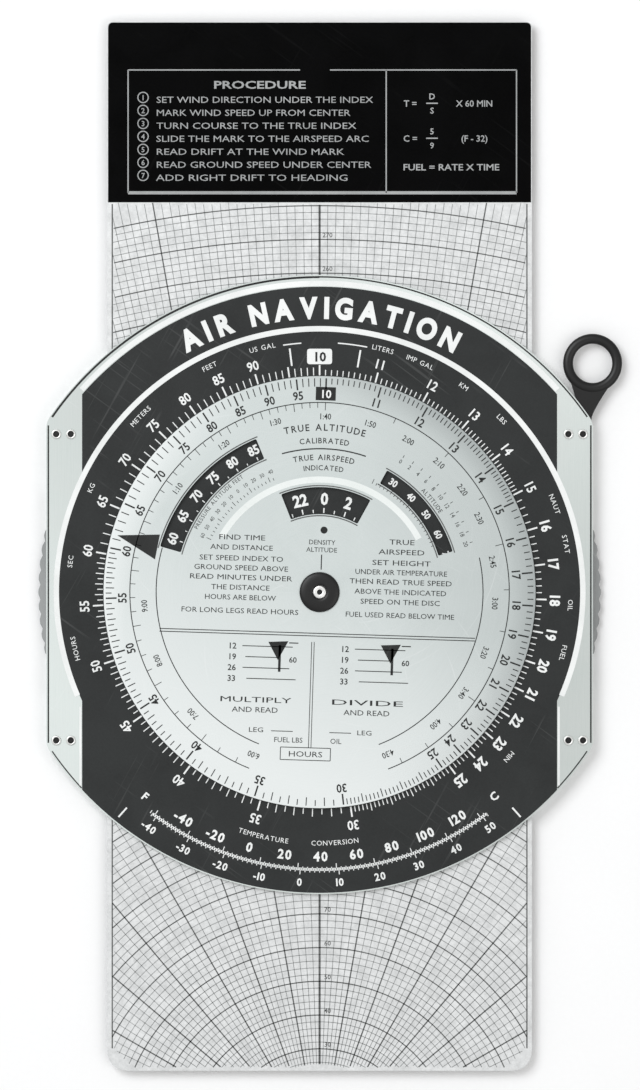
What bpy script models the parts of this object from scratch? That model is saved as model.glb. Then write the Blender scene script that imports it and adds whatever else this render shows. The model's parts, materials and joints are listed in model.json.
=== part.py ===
"""Pocket flight computer: a circular slide rule in front and a wind plotter behind.

It lies flat with the slide rule side up. +Z points out of that face, +Y runs along the wind slide
towards its black header, and the origin is the middle of the underside of the whole outline.
"""

import math

import bmesh
import bpy

MM = 0.001

# Plan sizes, in millimetres; the slide's ends are measured from the pivot that the discs turn on.
SLIDE_WIDTH = 102.0
SLIDE_ABOVE_PIVOT = 137.0
SLIDE_BELOW_PIVOT = 115.0
SLIDE_FOOT_CORNER = 5.4
SLIDE_HEAD_CORNER = 1.5

RAIL_WIDTH = 14.3
UPPER_RIM = 8.5
LOWER_RIM = 4.9
CORNER_REACH = 1.6
DISC_RADIUS = 51.8
AZIMUTH_BODY_OVERHANG = 2.0
AZIMUTH_NOTCHES = 120
AZIMUTH_NOTCH_DEPTH = 0.45
WINDOW_RIM_OVERLAP = 6.1
AZIMUTH_BAND_WIDTH = 17.1
PLOTTING_SEAT_WIDTH = 3.8

# Thickness of each layer, from the back plate up, in millimetres.
BACK_PLATE_THICKNESS = 0.8
AZIMUTH_THICKNESS = 1.0
SLIDE_THICKNESS = 0.9
FRONT_PLATE_THICKNESS = 1.0
DISC_THICKNESS = 0.8
PLOTTING_DISC_THICKNESS = 0.45
LAYER_GAP = 0.2
DISC_GAP = 0.3
SIDE_GAP = 0.3
SHANK_GAP = 0.15
THIN_GAP = 0.1

# Fasteners at the pivot, in millimetres.
PIN_RADIUS = 1.5
PIN_DIMPLE_RADIUS = 0.6
PIN_DIMPLE_DEPTH = 0.4
PIN_FOOT_RADIUS = 3.3
PIN_FOOT_THICKNESS = 0.35
PIN_TOP_INSET = 0.1
EYELET_WALL = 0.85
EYELET_FLANGE_RADIUS = 4.8
EYELET_FLANGE_THICKNESS = 0.5
WASHER_WIDTH = 4.0
WASHER_THICKNESS = 0.3

# Body rivets, in pairs near the four corners, in millimetres.
RIVET_SHANK_RADIUS = 0.7
RIVET_HEAD_RADIUS = 1.15
RIVET_HEAD_THICKNESS = 0.3
RIVET_OUTER_INSET = 2.4
RIVET_PAIR_PITCH = 3.5
RIVET_UPPER_WALL = 1.97
RIVET_LOWER_WALL = 0.75
UPPER_CORNER_MARGIN = 2.9
LOWER_CORNER_MARGIN = 1.4

# Rivets that hold the plotting disc, and its eyelet, in millimetres.
BAND_RIVET_COUNT = 6
BAND_RIVET_SHANK_RADIUS = 0.6
BAND_RIVET_HEAD_RADIUS = 1.05
BAND_RIVET_HEAD_THICKNESS = 0.25
PLOTTING_EYELET_HOLE = 0.5
PLOTTING_EYELET_SLEEVE = 1.3
PLOTTING_EYELET_FLANGE = 2.2
PLOTTING_EYELET_FLANGE_THICKNESS = 0.25

# Lanyard ring on the upper right outer rivet, in millimetres and degrees.
LANYARD_REACH = 17.2
LANYARD_ANGLE = 82.0
LANYARD_EYE_RADIUS = 5.9
LANYARD_EYE_WIDTH = 2.4
LANYARD_EYE_THICKNESS = 1.6
LANYARD_TANG_HALF_WIDTH = 1.6
LANYARD_TANG_FLARE = 4.6
LANYARD_TANG_NECK = 4.5
LANYARD_TANG_LAP = 0.3
LANYARD_SWING_DOWN = 130.0
LANYARD_SWING_UP = 4.0
LANYARD_NOTCH_MARGIN = 24.0

# Slide springs in the rails, in millimetres.
SPRING_LENGTH = 34.0
SPRING_BOW = 1.3
SPRING_THICKNESS = 0.25
SPRING_HEIGHT_INSET = 0.1
SPRING_POCKET_DEPTH = 2.0
SPRING_POCKET_MARGIN = 1.0

# The see-through windows of the computer disc: inner radius, outer radius, and the clockwise
# angles from +Y of its two ends.
DISC_WINDOWS = {
    "speed": (34.6, 39.8, -74.0, -22.5),
    "altitude": (29.8, 33.4, 29.0, 73.0),
    "density": (18.7, 25.2, -21.5, 29.0),
}

SPACER_END_HEIGHT = 24.0
LARGE_STEPS = 72
SMALL_STEPS = 24
RIVET_STEPS = 12
ARC_STEPS = 28
CORNER_STEPS = 4
MERGE = 0.000001

# Places that follow from the sizes above.
SLIDE_HALF_WIDTH = SLIDE_WIDTH / 2
RAIL_INNER = SLIDE_HALF_WIDTH + SIDE_GAP
BODY_HALF_WIDTH = RAIL_INNER + RAIL_WIDTH
AZIMUTH_RADIUS = BODY_HALF_WIDTH + AZIMUTH_BODY_OVERHANG
AZIMUTH_POCKET = AZIMUTH_RADIUS + SIDE_GAP
WINDOW_RADIUS = AZIMUTH_RADIUS - WINDOW_RIM_OVERLAP
BAND_INNER_RADIUS = AZIMUTH_RADIUS - AZIMUTH_BAND_WIDTH
PLOTTING_SEAT_RADIUS = BAND_INNER_RADIUS + PLOTTING_SEAT_WIDTH
PLOTTING_RADIUS = PLOTTING_SEAT_RADIUS - SIDE_GAP
BAND_RIVET_CIRCLE = BAND_INNER_RADIUS + PLOTTING_SEAT_WIDTH / 2
RIVET_OUTER = BODY_HALF_WIDTH - RIVET_OUTER_INSET
RIVET_INNER = RIVET_OUTER - RIVET_PAIR_PITCH
RIVET_HOLE = RIVET_SHANK_RADIUS + SHANK_GAP
RIVET_UPPER_REACH = AZIMUTH_POCKET + RIVET_HOLE + RIVET_UPPER_WALL
RIVET_LOWER_REACH = AZIMUTH_POCKET + RIVET_HOLE + RIVET_LOWER_WALL
RIVET_UPPER_HEIGHT = math.sqrt(RIVET_UPPER_REACH ** 2 - RIVET_INNER ** 2)
RIVET_LOWER_HEIGHT = math.sqrt(RIVET_LOWER_REACH ** 2 - RIVET_INNER ** 2)
UPPER_ARC_TOP = AZIMUTH_RADIUS + UPPER_RIM
LOWER_ARC_BOTTOM = AZIMUTH_RADIUS + LOWER_RIM
UPPER_ARC_RISE = UPPER_ARC_TOP - RIVET_UPPER_HEIGHT - UPPER_CORNER_MARGIN
LOWER_ARC_RISE = LOWER_ARC_BOTTOM - RIVET_LOWER_HEIGHT - LOWER_CORNER_MARGIN
UPPER_ARC_RADIUS = (BODY_HALF_WIDTH ** 2 + UPPER_ARC_RISE ** 2) / (2 * UPPER_ARC_RISE)
LOWER_ARC_RADIUS = (BODY_HALF_WIDTH ** 2 + LOWER_ARC_RISE ** 2) / (2 * LOWER_ARC_RISE)
UPPER_ARC_CENTRE = UPPER_ARC_TOP - UPPER_ARC_RADIUS
LOWER_ARC_CENTRE = LOWER_ARC_RADIUS - LOWER_ARC_BOTTOM
EYELET_BORE = PIN_RADIUS + SHANK_GAP
EYELET_SLEEVE = EYELET_BORE + EYELET_WALL
PIVOT_HOLE = EYELET_SLEEVE + SHANK_GAP
WASHER_INNER = PIVOT_HOLE + SIDE_GAP
WASHER_OUTER = WASHER_INNER + WASHER_WIDTH

AZIMUTH_LOW = BACK_PLATE_THICKNESS + LAYER_GAP
AZIMUTH_HIGH = AZIMUTH_LOW + AZIMUTH_THICKNESS
SLIDE_LOW = AZIMUTH_HIGH + LAYER_GAP
SLIDE_HIGH = SLIDE_LOW + SLIDE_THICKNESS
FRONT_LOW = SLIDE_HIGH + LAYER_GAP
FRONT_HIGH = FRONT_LOW + FRONT_PLATE_THICKNESS
DISC_LOW = FRONT_HIGH + DISC_GAP
DISC_HIGH = DISC_LOW + DISC_THICKNESS
PLOTTING_LOW = AZIMUTH_HIGH - PLOTTING_DISC_THICKNESS
SEAT_LOW = PLOTTING_LOW - SHANK_GAP
FLANGE_LOW = DISC_HIGH + LAYER_GAP
FLANGE_HIGH = FLANGE_LOW + EYELET_FLANGE_THICKNESS
WASHER_LOW = FRONT_HIGH + SHANK_GAP
WASHER_HIGH = WASHER_LOW + WASHER_THICKNESS
FOOT_POCKET_HIGH = FRONT_LOW + PIN_FOOT_THICKNESS + SHANK_GAP
TAIL_POCKET_HIGH = RIVET_HEAD_THICKNESS + SHANK_GAP

LANYARD_REST = math.radians(LANYARD_ANGLE)
LANYARD_RIGHT = (RIVET_OUTER + LANYARD_REACH * math.cos(LANYARD_REST)
                 + LANYARD_EYE_RADIUS + LANYARD_EYE_WIDTH / 2)
PIVOT_X = (AZIMUTH_RADIUS - LANYARD_RIGHT) / 2
PIVOT_Y = (SLIDE_BELOW_PIVOT - SLIDE_ABOVE_PIVOT) / 2

# Colour, roughness and metallic value of each finish.
FINISHES = {
    "black_print": ((0.045, 0.047, 0.047), 0.45, 0.3),
    "silver_sheet": ((0.78, 0.80, 0.79), 0.35, 1.0),
    "white_print": ((0.84, 0.87, 0.86), 0.4, 0.2),
    "black_oxide": ((0.03, 0.03, 0.032), 0.4, 0.8),
    "bright_pin": ((0.85, 0.85, 0.83), 0.3, 1.0),
    "spring_steel": ((0.5, 0.5, 0.52), 0.3, 1.0),
    "frosted_clear": ((0.86, 0.88, 0.88), 0.5, 0.0),
    "nylon": ((0.8, 0.8, 0.76), 0.5, 0.0),
}


def clear_scene():
    """Removes every object, so that the model starts from nothing."""
    for item in list(bpy.data.objects):
        bpy.data.objects.remove(item, do_unlink=True)


def new_collection(name):
    """Returns a new collection in the scene."""
    collection = bpy.data.collections.new(name)
    bpy.context.scene.collection.children.link(collection)
    return collection


def finish_piece(piece, finish):
    """Gives a piece its own material of the named finish."""
    colour, roughness, metallic = FINISHES[finish]
    material = bpy.data.materials.new(piece.name + "_finish")
    material.use_nodes = True
    shader = material.node_tree.nodes["Principled BSDF"]
    shader.inputs["Base Color"].default_value = (*colour, 1.0)
    shader.inputs["Roughness"].default_value = roughness
    shader.inputs["Metallic"].default_value = metallic
    material.diffuse_color = (*colour, 1.0)
    piece.data.materials.clear()
    piece.data.materials.append(material)


def new_datum(name, place, parent):
    """Returns an empty at a place in millimetres from its parent."""
    datum = bpy.data.objects.new(name, None)
    PARTS.objects.link(datum)
    datum.parent = parent
    datum.location = [value * MM for value in place]
    return datum


def place_piece(piece, collection, parent, finish):
    """Puts a piece in its collection, on its parent, in its finish."""
    collection.objects.link(piece)
    piece.parent = parent
    piece.data.shade_smooth()
    piece.data.set_sharp_from_angle(angle=math.radians(30))
    if finish:
        finish_piece(piece, finish)
    return piece


def circle(radius, steps=SMALL_STEPS, centre=(0.0, 0.0)):
    """Returns the points of a circle."""
    turns = [2 * math.pi * step / steps for step in range(steps)]
    return [(centre[0] + radius * math.cos(t), centre[1] + radius * math.sin(t)) for t in turns]


def arc_between(centre_y, radius, start_x, end_x, side, steps):
    """Returns points of an arc about (0, centre_y), above it for side 1 and below it for side -1."""
    start = math.acos(start_x / radius) * side
    end = math.acos(end_x / radius) * side
    turns = [start + (end - start) * step / steps for step in range(steps + 1)]
    return [(radius * math.cos(t), centre_y + radius * math.sin(t)) for t in turns]


def eased(corner, before, after, reach):
    """Returns a small curve that takes the point off a corner."""
    start = towards(corner, before, reach)
    end = towards(corner, after, reach)
    points = []
    for step in range(CORNER_STEPS + 1):
        t = step / CORNER_STEPS
        weights = ((1 - t) ** 2, 2 * t * (1 - t), t ** 2)
        points.append(tuple(
            weights[0] * start[axis] + weights[1] * corner[axis] + weights[2] * end[axis]
            for axis in (0, 1)))
    return points


def towards(point, target, distance):
    """Returns the point that lies a distance from one point towards another."""
    span = math.dist(point, target)
    return tuple(point[axis] + (target[axis] - point[axis]) * distance / span for axis in (0, 1))


def ease_corners(points, reaches):
    """Eases the corners of an outline whose index is in reaches by the distance given there."""
    outline = []
    for index, point in enumerate(points):
        if index in reaches:
            after = points[(index + 1) % len(points)]
            outline += eased(point, points[index - 1], after, reaches[index])
        else:
            outline.append(point)
    return outline


def body_outline():
    """Returns the outline that both plates share: two arcs joined by straight sides."""
    half = BODY_HALF_WIDTH
    upper = arc_between(UPPER_ARC_CENTRE, UPPER_ARC_RADIUS, half, -half, 1, ARC_STEPS)
    lower = arc_between(LOWER_ARC_CENTRE, LOWER_ARC_RADIUS, -half, half, -1, ARC_STEPS)
    corners = (0, len(upper) - 1, len(upper), len(upper) + len(lower) - 1)
    return ease_corners(upper + lower, dict.fromkeys(corners, CORNER_REACH))


def rail_outline(inner, pocket):
    """Returns the right-hand rail: the strip of the body outside the slide, with a spring pocket."""
    upper = arc_between(UPPER_ARC_CENTRE, UPPER_ARC_RADIUS, BODY_HALF_WIDTH, inner, 1, 6)
    lower = arc_between(LOWER_ARC_CENTRE, LOWER_ARC_RADIUS, inner, BODY_HALF_WIDTH, -1, 6)
    half = SPRING_LENGTH / 2 + SPRING_POCKET_MARGIN
    recess = [(inner, half), (inner + pocket, half), (inner + pocket, -half), (inner, -half)]
    outline = upper + recess + lower
    return ease_corners(outline, {0: CORNER_REACH, len(outline) - 1: CORNER_REACH})


def spacer_outline(side):
    """Returns the flat crescent above (side 1) or below (side -1) the azimuth ring's pocket."""
    radius, centre = UPPER_ARC_RADIUS, UPPER_ARC_CENTRE
    if side < 0:
        radius, centre = LOWER_ARC_RADIUS, LOWER_ARC_CENTRE
    end_height = SPACER_END_HEIGHT * side
    end_x = math.sqrt(AZIMUTH_POCKET ** 2 - end_height ** 2)
    outer = arc_between(centre, radius, BODY_HALF_WIDTH, -BODY_HALF_WIDTH, side, ARC_STEPS)
    inner = arc_between(0.0, AZIMUTH_POCKET, -end_x, end_x, side, ARC_STEPS)
    points = outer + [(-BODY_HALF_WIDTH, end_height)] + inner + [(BODY_HALF_WIDTH, end_height)]
    return ease_corners(points, {0: CORNER_REACH, len(outer) - 1: CORNER_REACH})


def slide_outline():
    """Returns the wind slide's outline, with its larger corners at the foot."""
    head, foot = SLIDE_ABOVE_PIVOT, -SLIDE_BELOW_PIVOT
    half = SLIDE_HALF_WIDTH
    corners = [(half, head), (-half, head), (-half, foot), (half, foot)]
    reaches = {0: SLIDE_HEAD_CORNER, 1: SLIDE_HEAD_CORNER, 2: SLIDE_FOOT_CORNER, 3: SLIDE_FOOT_CORNER}
    return ease_corners(corners, reaches)


def notched_rim():
    """Returns the azimuth ring's finger-grip rim."""
    points = []
    steps = AZIMUTH_NOTCHES * 2
    for step in range(steps):
        turn = 2 * math.pi * step / steps
        radius = AZIMUTH_RADIUS - AZIMUTH_NOTCH_DEPTH * (step % 2)
        points.append((radius * math.cos(turn), radius * math.sin(turn)))
    return points


def window_loop(inner, outer, start, end):
    """Returns a window of the computer disc: a piece of a ring between two clockwise angles."""
    steps = 14
    clockwise = [math.radians(start + (end - start) * step / steps) for step in range(steps + 1)]
    near = [(inner * math.sin(t), inner * math.cos(t)) for t in clockwise]
    far = [(outer * math.sin(t), outer * math.cos(t)) for t in reversed(clockwise)]
    return near + far


def rivet_places(side_x=0):
    """Returns where the body rivets stand, on both sides or on side 1 (right) or -1 (left) only."""
    places = []
    for side in (-1, 1):
        for x in (RIVET_OUTER, RIVET_INNER):
            for y in (RIVET_UPPER_HEIGHT, -RIVET_LOWER_HEIGHT):
                if side_x in (0, side):
                    places.append((side * x, y))
    return places


def rivet_holes(side_x=0, side_y=0):
    """Returns the body rivets' hole outlines, all of them or those of one side or one half."""
    places = [place for place in rivet_places(side_x) if side_y == 0 or place[1] * side_y > 0]
    return [circle(RIVET_HOLE, RIVET_STEPS, place) for place in places]


def sheet_mesh(name, loops, low, high):
    """Returns the mesh of a flat plate between two heights; loops after the first are holes."""
    curve = bpy.data.curves.new(name, "CURVE")
    curve.dimensions = "2D"
    curve.fill_mode = "BOTH"
    curve.extrude = (high - low) / 2 * MM
    for loop in loops:
        spline = curve.splines.new("POLY")
        spline.points.add(len(loop) - 1)
        for point, (x, y) in zip(spline.points, loop):
            point.co = (x * MM, y * MM, 0.0, 1.0)
        spline.use_cyclic_u = True
    flat = bpy.data.objects.new(name + "_outline", curve)
    bpy.context.scene.collection.objects.link(flat)
    bpy.context.view_layer.update()
    evaluated = flat.evaluated_get(bpy.context.evaluated_depsgraph_get())
    mesh = bpy.data.meshes.new_from_object(evaluated)
    bpy.data.objects.remove(flat, do_unlink=True)
    work = bmesh.new()
    work.from_mesh(mesh)
    bmesh.ops.remove_doubles(work, verts=work.verts, dist=MERGE)
    bmesh.ops.translate(work, verts=work.verts, vec=(0, 0, (low + high) / 2 * MM))
    bmesh.ops.recalc_face_normals(work, faces=work.faces)
    work.to_mesh(mesh)
    work.free()
    mesh.name = name
    return mesh


def sheet(name, loops, low, high, parent, finish):
    """Makes a flat plate as a part."""
    piece = bpy.data.objects.new(name, sheet_mesh(name, loops, low, high))
    return place_piece(piece, PARTS, parent, finish)


def turned(name, profile, parent, finish, steps=SMALL_STEPS, closed=True):
    """Makes a turned piece from a profile of (radius, height) that runs down its outer side."""
    mesh = bpy.data.meshes.new(name)
    points = [(radius * MM, 0.0, height * MM) for radius, height in profile]
    edges = [(index, index + 1) for index in range(len(points) - 1)]
    if closed:
        edges.append((len(points) - 1, 0))
    mesh.from_pydata(points, edges, [])
    piece = bpy.data.objects.new(name, mesh)
    place_piece(piece, PARTS, parent, finish)
    screw = piece.modifiers.new("turn", "SCREW")
    screw.steps = steps
    screw.render_steps = steps
    screw.use_merge_vertices = True
    screw.merge_threshold = MERGE
    screw.use_smooth_shade = True
    return piece


def cut_out(piece, radius, low, high, places=((0.0, 0.0),), steps=SMALL_STEPS):
    """Cuts a round recess into a piece between two heights, at each place."""
    mesh = bpy.data.meshes.new(piece.name + "_cutter")
    work = bmesh.new()
    for x, y in places:
        made = bmesh.ops.create_cone(
            work, cap_ends=True, segments=steps, radius1=radius * MM, radius2=radius * MM,
            depth=(high - low) * MM)
        bmesh.ops.translate(work, verts=made["verts"], vec=(x * MM, y * MM, (low + high) / 2 * MM))
    work.to_mesh(mesh)
    work.free()
    cutter = bpy.data.objects.new(mesh.name, mesh)
    CUTTERS.objects.link(cutter)
    cutter.parent = piece.parent
    add_boolean(piece, cutter, "DIFFERENCE", "MANIFOLD")


def add_boolean(piece, other, operation, solver="EXACT"):
    """Joins another solid to a piece, or takes it away."""
    other.hide_render = True
    other.display_type = "WIRE"
    boolean = piece.modifiers.new(operation.lower(), "BOOLEAN")
    boolean.operation = operation
    boolean.solver = solver
    boolean.object = other


def make_plates(body):
    """Makes the two shells that the whole body is riveted from."""
    front = sheet(
        "front_plate", [body_outline(), circle(PIVOT_HOLE)] + rivet_holes(),
        FRONT_LOW, FRONT_HIGH, body, "black_print")
    cut_out(front, PIN_FOOT_RADIUS + SIDE_GAP, FRONT_LOW - 1.0, FOOT_POCKET_HIGH)
    back = sheet(
        "back_plate", [body_outline(), circle(WINDOW_RADIUS, LARGE_STEPS)] + rivet_holes(),
        0.0, BACK_PLATE_THICKNESS, body, "silver_sheet")
    tail_radius = RIVET_HEAD_RADIUS + SHANK_GAP
    cut_out(back, tail_radius, -1.0, TAIL_POCKET_HIGH, rivet_places(), RIVET_STEPS)


def make_rails(body):
    """Makes the rails that guide the slide, and opens the right one for the lanyard tang."""
    outline = rail_outline(RAIL_INNER, SPRING_POCKET_DEPTH)
    mirrored = [(-x, y) for x, y in reversed(outline)]
    sheet("left_rail", [mirrored] + rivet_holes(side_x=-1), SLIDE_LOW, SLIDE_HIGH, body,
          "silver_sheet")
    tang_rivet = (RIVET_OUTER, RIVET_UPPER_HEIGHT)
    places = [place for place in rivet_places(side_x=1) if place != tang_rivet]
    holes = [circle(RIVET_HOLE, RIVET_STEPS, place) for place in places]
    right = sheet("right_rail", [outline] + holes, SLIDE_LOW, SLIDE_HIGH, body, "silver_sheet")
    notch = bpy.data.objects.new(
        "tang_notch", sheet_mesh("tang_notch", [tang_notch_loop()], SLIDE_LOW - 1.0, SLIDE_HIGH + 1.0))
    CUTTERS.objects.link(notch)
    notch.parent = body
    add_boolean(right, notch, "DIFFERENCE")


def tang_notch_loop():
    """Returns the wedge that the lanyard tang sweeps, with room for its half width and its flare."""
    high = math.radians(LANYARD_ANGLE + LANYARD_SWING_UP + LANYARD_NOTCH_MARGIN)
    low = math.radians(LANYARD_ANGLE - LANYARD_SWING_DOWN - LANYARD_NOTCH_MARGIN)
    middle = (high + low) / 2
    back = (LANYARD_TANG_HALF_WIDTH + SIDE_GAP) / math.cos((high - low - math.pi) / 2)
    apex = (RIVET_OUTER - back * math.cos(middle), RIVET_UPPER_HEIGHT - back * math.sin(middle))
    reach = LANYARD_REACH * 2
    steps = 6
    turns = [low + (high - low) * step / steps for step in range(steps + 1)]
    return [apex] + [(apex[0] + reach * math.cos(t), apex[1] + reach * math.sin(t)) for t in turns]


def make_springs(body):
    """Makes the two bowed strips that press on the slide's edges."""
    steps = 16
    spine = []
    for step in range(steps + 1):
        t = step / steps
        bow = SPRING_BOW * 4 * t * (1 - t)
        spine.append((SPRING_BOW - bow, SPRING_LENGTH * (t - 0.5)))
    inner = RAIL_INNER - SIDE_GAP + THIN_GAP
    near = [(inner + x, y) for x, y in spine]
    far = [(inner + x + SPRING_THICKNESS, y) for x, y in reversed(spine)]
    right = far[::-1] + near[::-1]
    left = [(-x, y) for x, y in reversed(right)]
    for name, outline in (("left_spring", left), ("right_spring", right)):
        sheet(name, [outline], SLIDE_LOW + SPRING_HEIGHT_INSET, SLIDE_HIGH - SPRING_HEIGHT_INSET,
              body, "spring_steel")


def make_spacers(body):
    """Makes the two crescents that keep the pocket for the azimuth ring."""
    for name, side in (("upper_spacer", 1), ("lower_spacer", -1)):
        sheet(name, [spacer_outline(side)] + rivet_holes(side_y=side), AZIMUTH_LOW, AZIMUTH_HIGH,
              body, "silver_sheet")


def make_body_rivets(body):
    """Makes the eight rivets, each with a head in front and a flush tail behind."""
    head = FRONT_HIGH + SHANK_GAP
    profile = [
        (0.0, head + RIVET_HEAD_THICKNESS),
        (RIVET_HEAD_RADIUS * 0.6, head + RIVET_HEAD_THICKNESS),
        (RIVET_HEAD_RADIUS, head + RIVET_HEAD_THICKNESS / 2),
        (RIVET_HEAD_RADIUS, head),
        (RIVET_SHANK_RADIUS, head),
        (RIVET_SHANK_RADIUS, RIVET_HEAD_THICKNESS),
        (RIVET_HEAD_RADIUS, RIVET_HEAD_THICKNESS),
        (RIVET_HEAD_RADIUS, 0.0),
        (0.0, 0.0),
    ]
    for index, (x, y) in enumerate(rivet_places()):
        name = f"body_rivet_{index + 1}"
        rivet = turned(name, profile, body, "bright_pin", RIVET_STEPS, closed=False)
        rivet.location = (x * MM, y * MM, 0.0)


def make_pivot(body):
    """Makes the pin, the black eyelet and the friction washer that the computer disc turns on."""
    top = FLANGE_HIGH - PIN_TOP_INSET
    foot = FRONT_LOW + PIN_FOOT_THICKNESS
    pin = [
        (0.0, top - PIN_DIMPLE_DEPTH), (PIN_DIMPLE_RADIUS, top - PIN_DIMPLE_DEPTH),
        (PIN_DIMPLE_RADIUS, top), (PIN_RADIUS, top), (PIN_RADIUS, foot),
        (PIN_FOOT_RADIUS, foot), (PIN_FOOT_RADIUS, FRONT_LOW), (0.0, FRONT_LOW),
    ]
    turned("pivot_pin", pin, body, "bright_pin", closed=False)
    chamfer = EYELET_FLANGE_THICKNESS / 2
    low = FOOT_POCKET_HIGH
    eyelet = [
        (EYELET_BORE, FLANGE_HIGH), (EYELET_FLANGE_RADIUS - chamfer, FLANGE_HIGH),
        (EYELET_FLANGE_RADIUS, FLANGE_HIGH - chamfer), (EYELET_FLANGE_RADIUS, FLANGE_LOW),
        (EYELET_SLEEVE, FLANGE_LOW), (EYELET_SLEEVE, low), (EYELET_BORE, low),
    ]
    turned("disc_eyelet", eyelet, body, "black_oxide", 32)
    washer = [
        (WASHER_INNER, WASHER_HIGH), (WASHER_OUTER, WASHER_HIGH),
        (WASHER_OUTER, WASHER_LOW), (WASHER_INNER, WASHER_LOW),
    ]
    turned("disc_washer", washer, body, "nylon", 32)


def make_computer_disc(pivot):
    """Makes the turning disc of the slide rule, with its windows and the washer's recess."""
    loops = [circle(DISC_RADIUS, LARGE_STEPS), circle(PIVOT_HOLE)]
    loops += [window_loop(*window) for window in DISC_WINDOWS.values()]
    disc = sheet("computer_disc", loops, DISC_LOW, DISC_HIGH, pivot, "white_print")
    cut_out(disc, WASHER_OUTER + SIDE_GAP, DISC_LOW - 1.0, WASHER_HIGH + SHANK_GAP, steps=32)


def make_azimuth(pivot):
    """Makes the azimuth ring, the clear plotting disc in it, and the rivets and eyelet of that."""
    places = circle(BAND_RIVET_CIRCLE, BAND_RIVET_COUNT)
    hole = BAND_RIVET_SHANK_RADIUS + SHANK_GAP
    holes = [circle(hole, RIVET_STEPS, place) for place in places]
    ring = sheet(
        "azimuth_ring", [notched_rim(), circle(BAND_INNER_RADIUS, LARGE_STEPS)] + holes,
        AZIMUTH_LOW, AZIMUTH_HIGH, pivot, "silver_sheet")
    cut_out(ring, PLOTTING_SEAT_RADIUS, SEAT_LOW, AZIMUTH_HIGH + 1.0, steps=LARGE_STEPS)
    sleeve_hole = PLOTTING_EYELET_SLEEVE + SHANK_GAP
    sheet("plotting_disc", [circle(PLOTTING_RADIUS, LARGE_STEPS), circle(sleeve_hole)] + holes,
          PLOTTING_LOW, AZIMUTH_HIGH, pivot, "frosted_clear")
    make_band_rivets(pivot, places)
    make_plotting_eyelet(pivot)


def make_band_rivets(pivot, places):
    """Makes the small rivets that hold the plotting disc in the azimuth ring."""
    head = AZIMUTH_LOW - THIN_GAP
    low = head - BAND_RIVET_HEAD_THICKNESS
    profile = [
        (0.0, AZIMUTH_HIGH - THIN_GAP), (BAND_RIVET_SHANK_RADIUS, AZIMUTH_HIGH - THIN_GAP),
        (BAND_RIVET_SHANK_RADIUS, head), (BAND_RIVET_HEAD_RADIUS, head),
        (BAND_RIVET_HEAD_RADIUS, low + BAND_RIVET_HEAD_THICKNESS / 2),
        (BAND_RIVET_HEAD_RADIUS * 0.6, low), (0.0, low),
    ]
    for index, (x, y) in enumerate(places):
        name = f"band_rivet_{index + 1}"
        rivet = turned(name, profile, pivot, "bright_pin", RIVET_STEPS, closed=False)
        rivet.location = (x * MM, y * MM, 0.0)


def make_plotting_eyelet(pivot):
    """Makes the small eyelet at the middle of the plotting disc."""
    flange = PLOTTING_LOW - THIN_GAP
    low = flange - PLOTTING_EYELET_FLANGE_THICKNESS
    profile = [
        (PLOTTING_EYELET_HOLE, AZIMUTH_HIGH), (PLOTTING_EYELET_SLEEVE, AZIMUTH_HIGH),
        (PLOTTING_EYELET_SLEEVE, flange), (PLOTTING_EYELET_FLANGE, flange),
        (PLOTTING_EYELET_FLANGE, low), (PLOTTING_EYELET_HOLE, low),
    ]
    turned("plotting_eyelet", profile, pivot, "black_oxide")


def make_lanyard_ring(pivot):
    """Makes the lanyard ring: a thick round eye on a thin tang that turns on its rivet."""
    half = LANYARD_TANG_HALF_WIDTH
    end = LANYARD_REACH - LANYARD_EYE_RADIUS + LANYARD_EYE_WIDTH / 2 - LANYARD_TANG_LAP
    steps = 8
    turns = [math.pi * (0.5 + step / steps) for step in range(steps + 1)]
    tang = [(half * math.cos(t), half * math.sin(t)) for t in turns]
    tang += [(LANYARD_TANG_NECK, -half), (end, -LANYARD_TANG_FLARE)]
    tang += [(end, LANYARD_TANG_FLARE), (LANYARD_TANG_NECK, half)]
    ring = sheet("lanyard_ring", [tang, circle(RIVET_HOLE)], SLIDE_LOW, SLIDE_HIGH, pivot,
                 "black_oxide")
    middle = (SLIDE_LOW + SLIDE_HIGH) / 2
    across = LANYARD_EYE_WIDTH / 2
    up = LANYARD_EYE_THICKNESS / 2
    bevel = up / 2
    section = [
        (across - bevel, up), (across, up - bevel), (across, bevel - up), (across - bevel, -up),
        (bevel - across, -up), (-across, bevel - up), (-across, up - bevel), (bevel - across, up),
    ]
    eye = turned("lanyard_eye", [(LANYARD_EYE_RADIUS + r, middle + z) for r, z in section], pivot,
                 None, 40)
    PARTS.objects.unlink(eye)
    CUTTERS.objects.link(eye)
    eye.location = (LANYARD_REACH * MM, 0.0, 0.0)
    add_boolean(ring, eye, "UNION")


clear_scene()
PARTS = new_collection("flight_computer")
CUTTERS = new_collection("flight_computer_cutters")

body_datum = new_datum("body_datum", (PIVOT_X, PIVOT_Y, 0.0), None)
make_plates(body_datum)
make_rails(body_datum)
make_springs(body_datum)
make_spacers(body_datum)
make_body_rivets(body_datum)
make_pivot(body_datum)

slide_datum = new_datum("slide_datum", (0.0, 0.0, 0.0), body_datum)
sheet("slide_card", [slide_outline()], SLIDE_LOW, SLIDE_HIGH, slide_datum, "white_print")

disc_datum = new_datum("disc_datum", (0.0, 0.0, 0.0), body_datum)
make_computer_disc(disc_datum)

azimuth_datum = new_datum("azimuth_datum", (0.0, 0.0, 0.0), body_datum)
make_azimuth(azimuth_datum)

lanyard_datum = new_datum("lanyard_datum", (RIVET_OUTER, RIVET_UPPER_HEIGHT, 0.0), body_datum)
lanyard_datum.rotation_euler = (0.0, 0.0, LANYARD_REST)
make_lanyard_ring(lanyard_datum)
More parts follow.
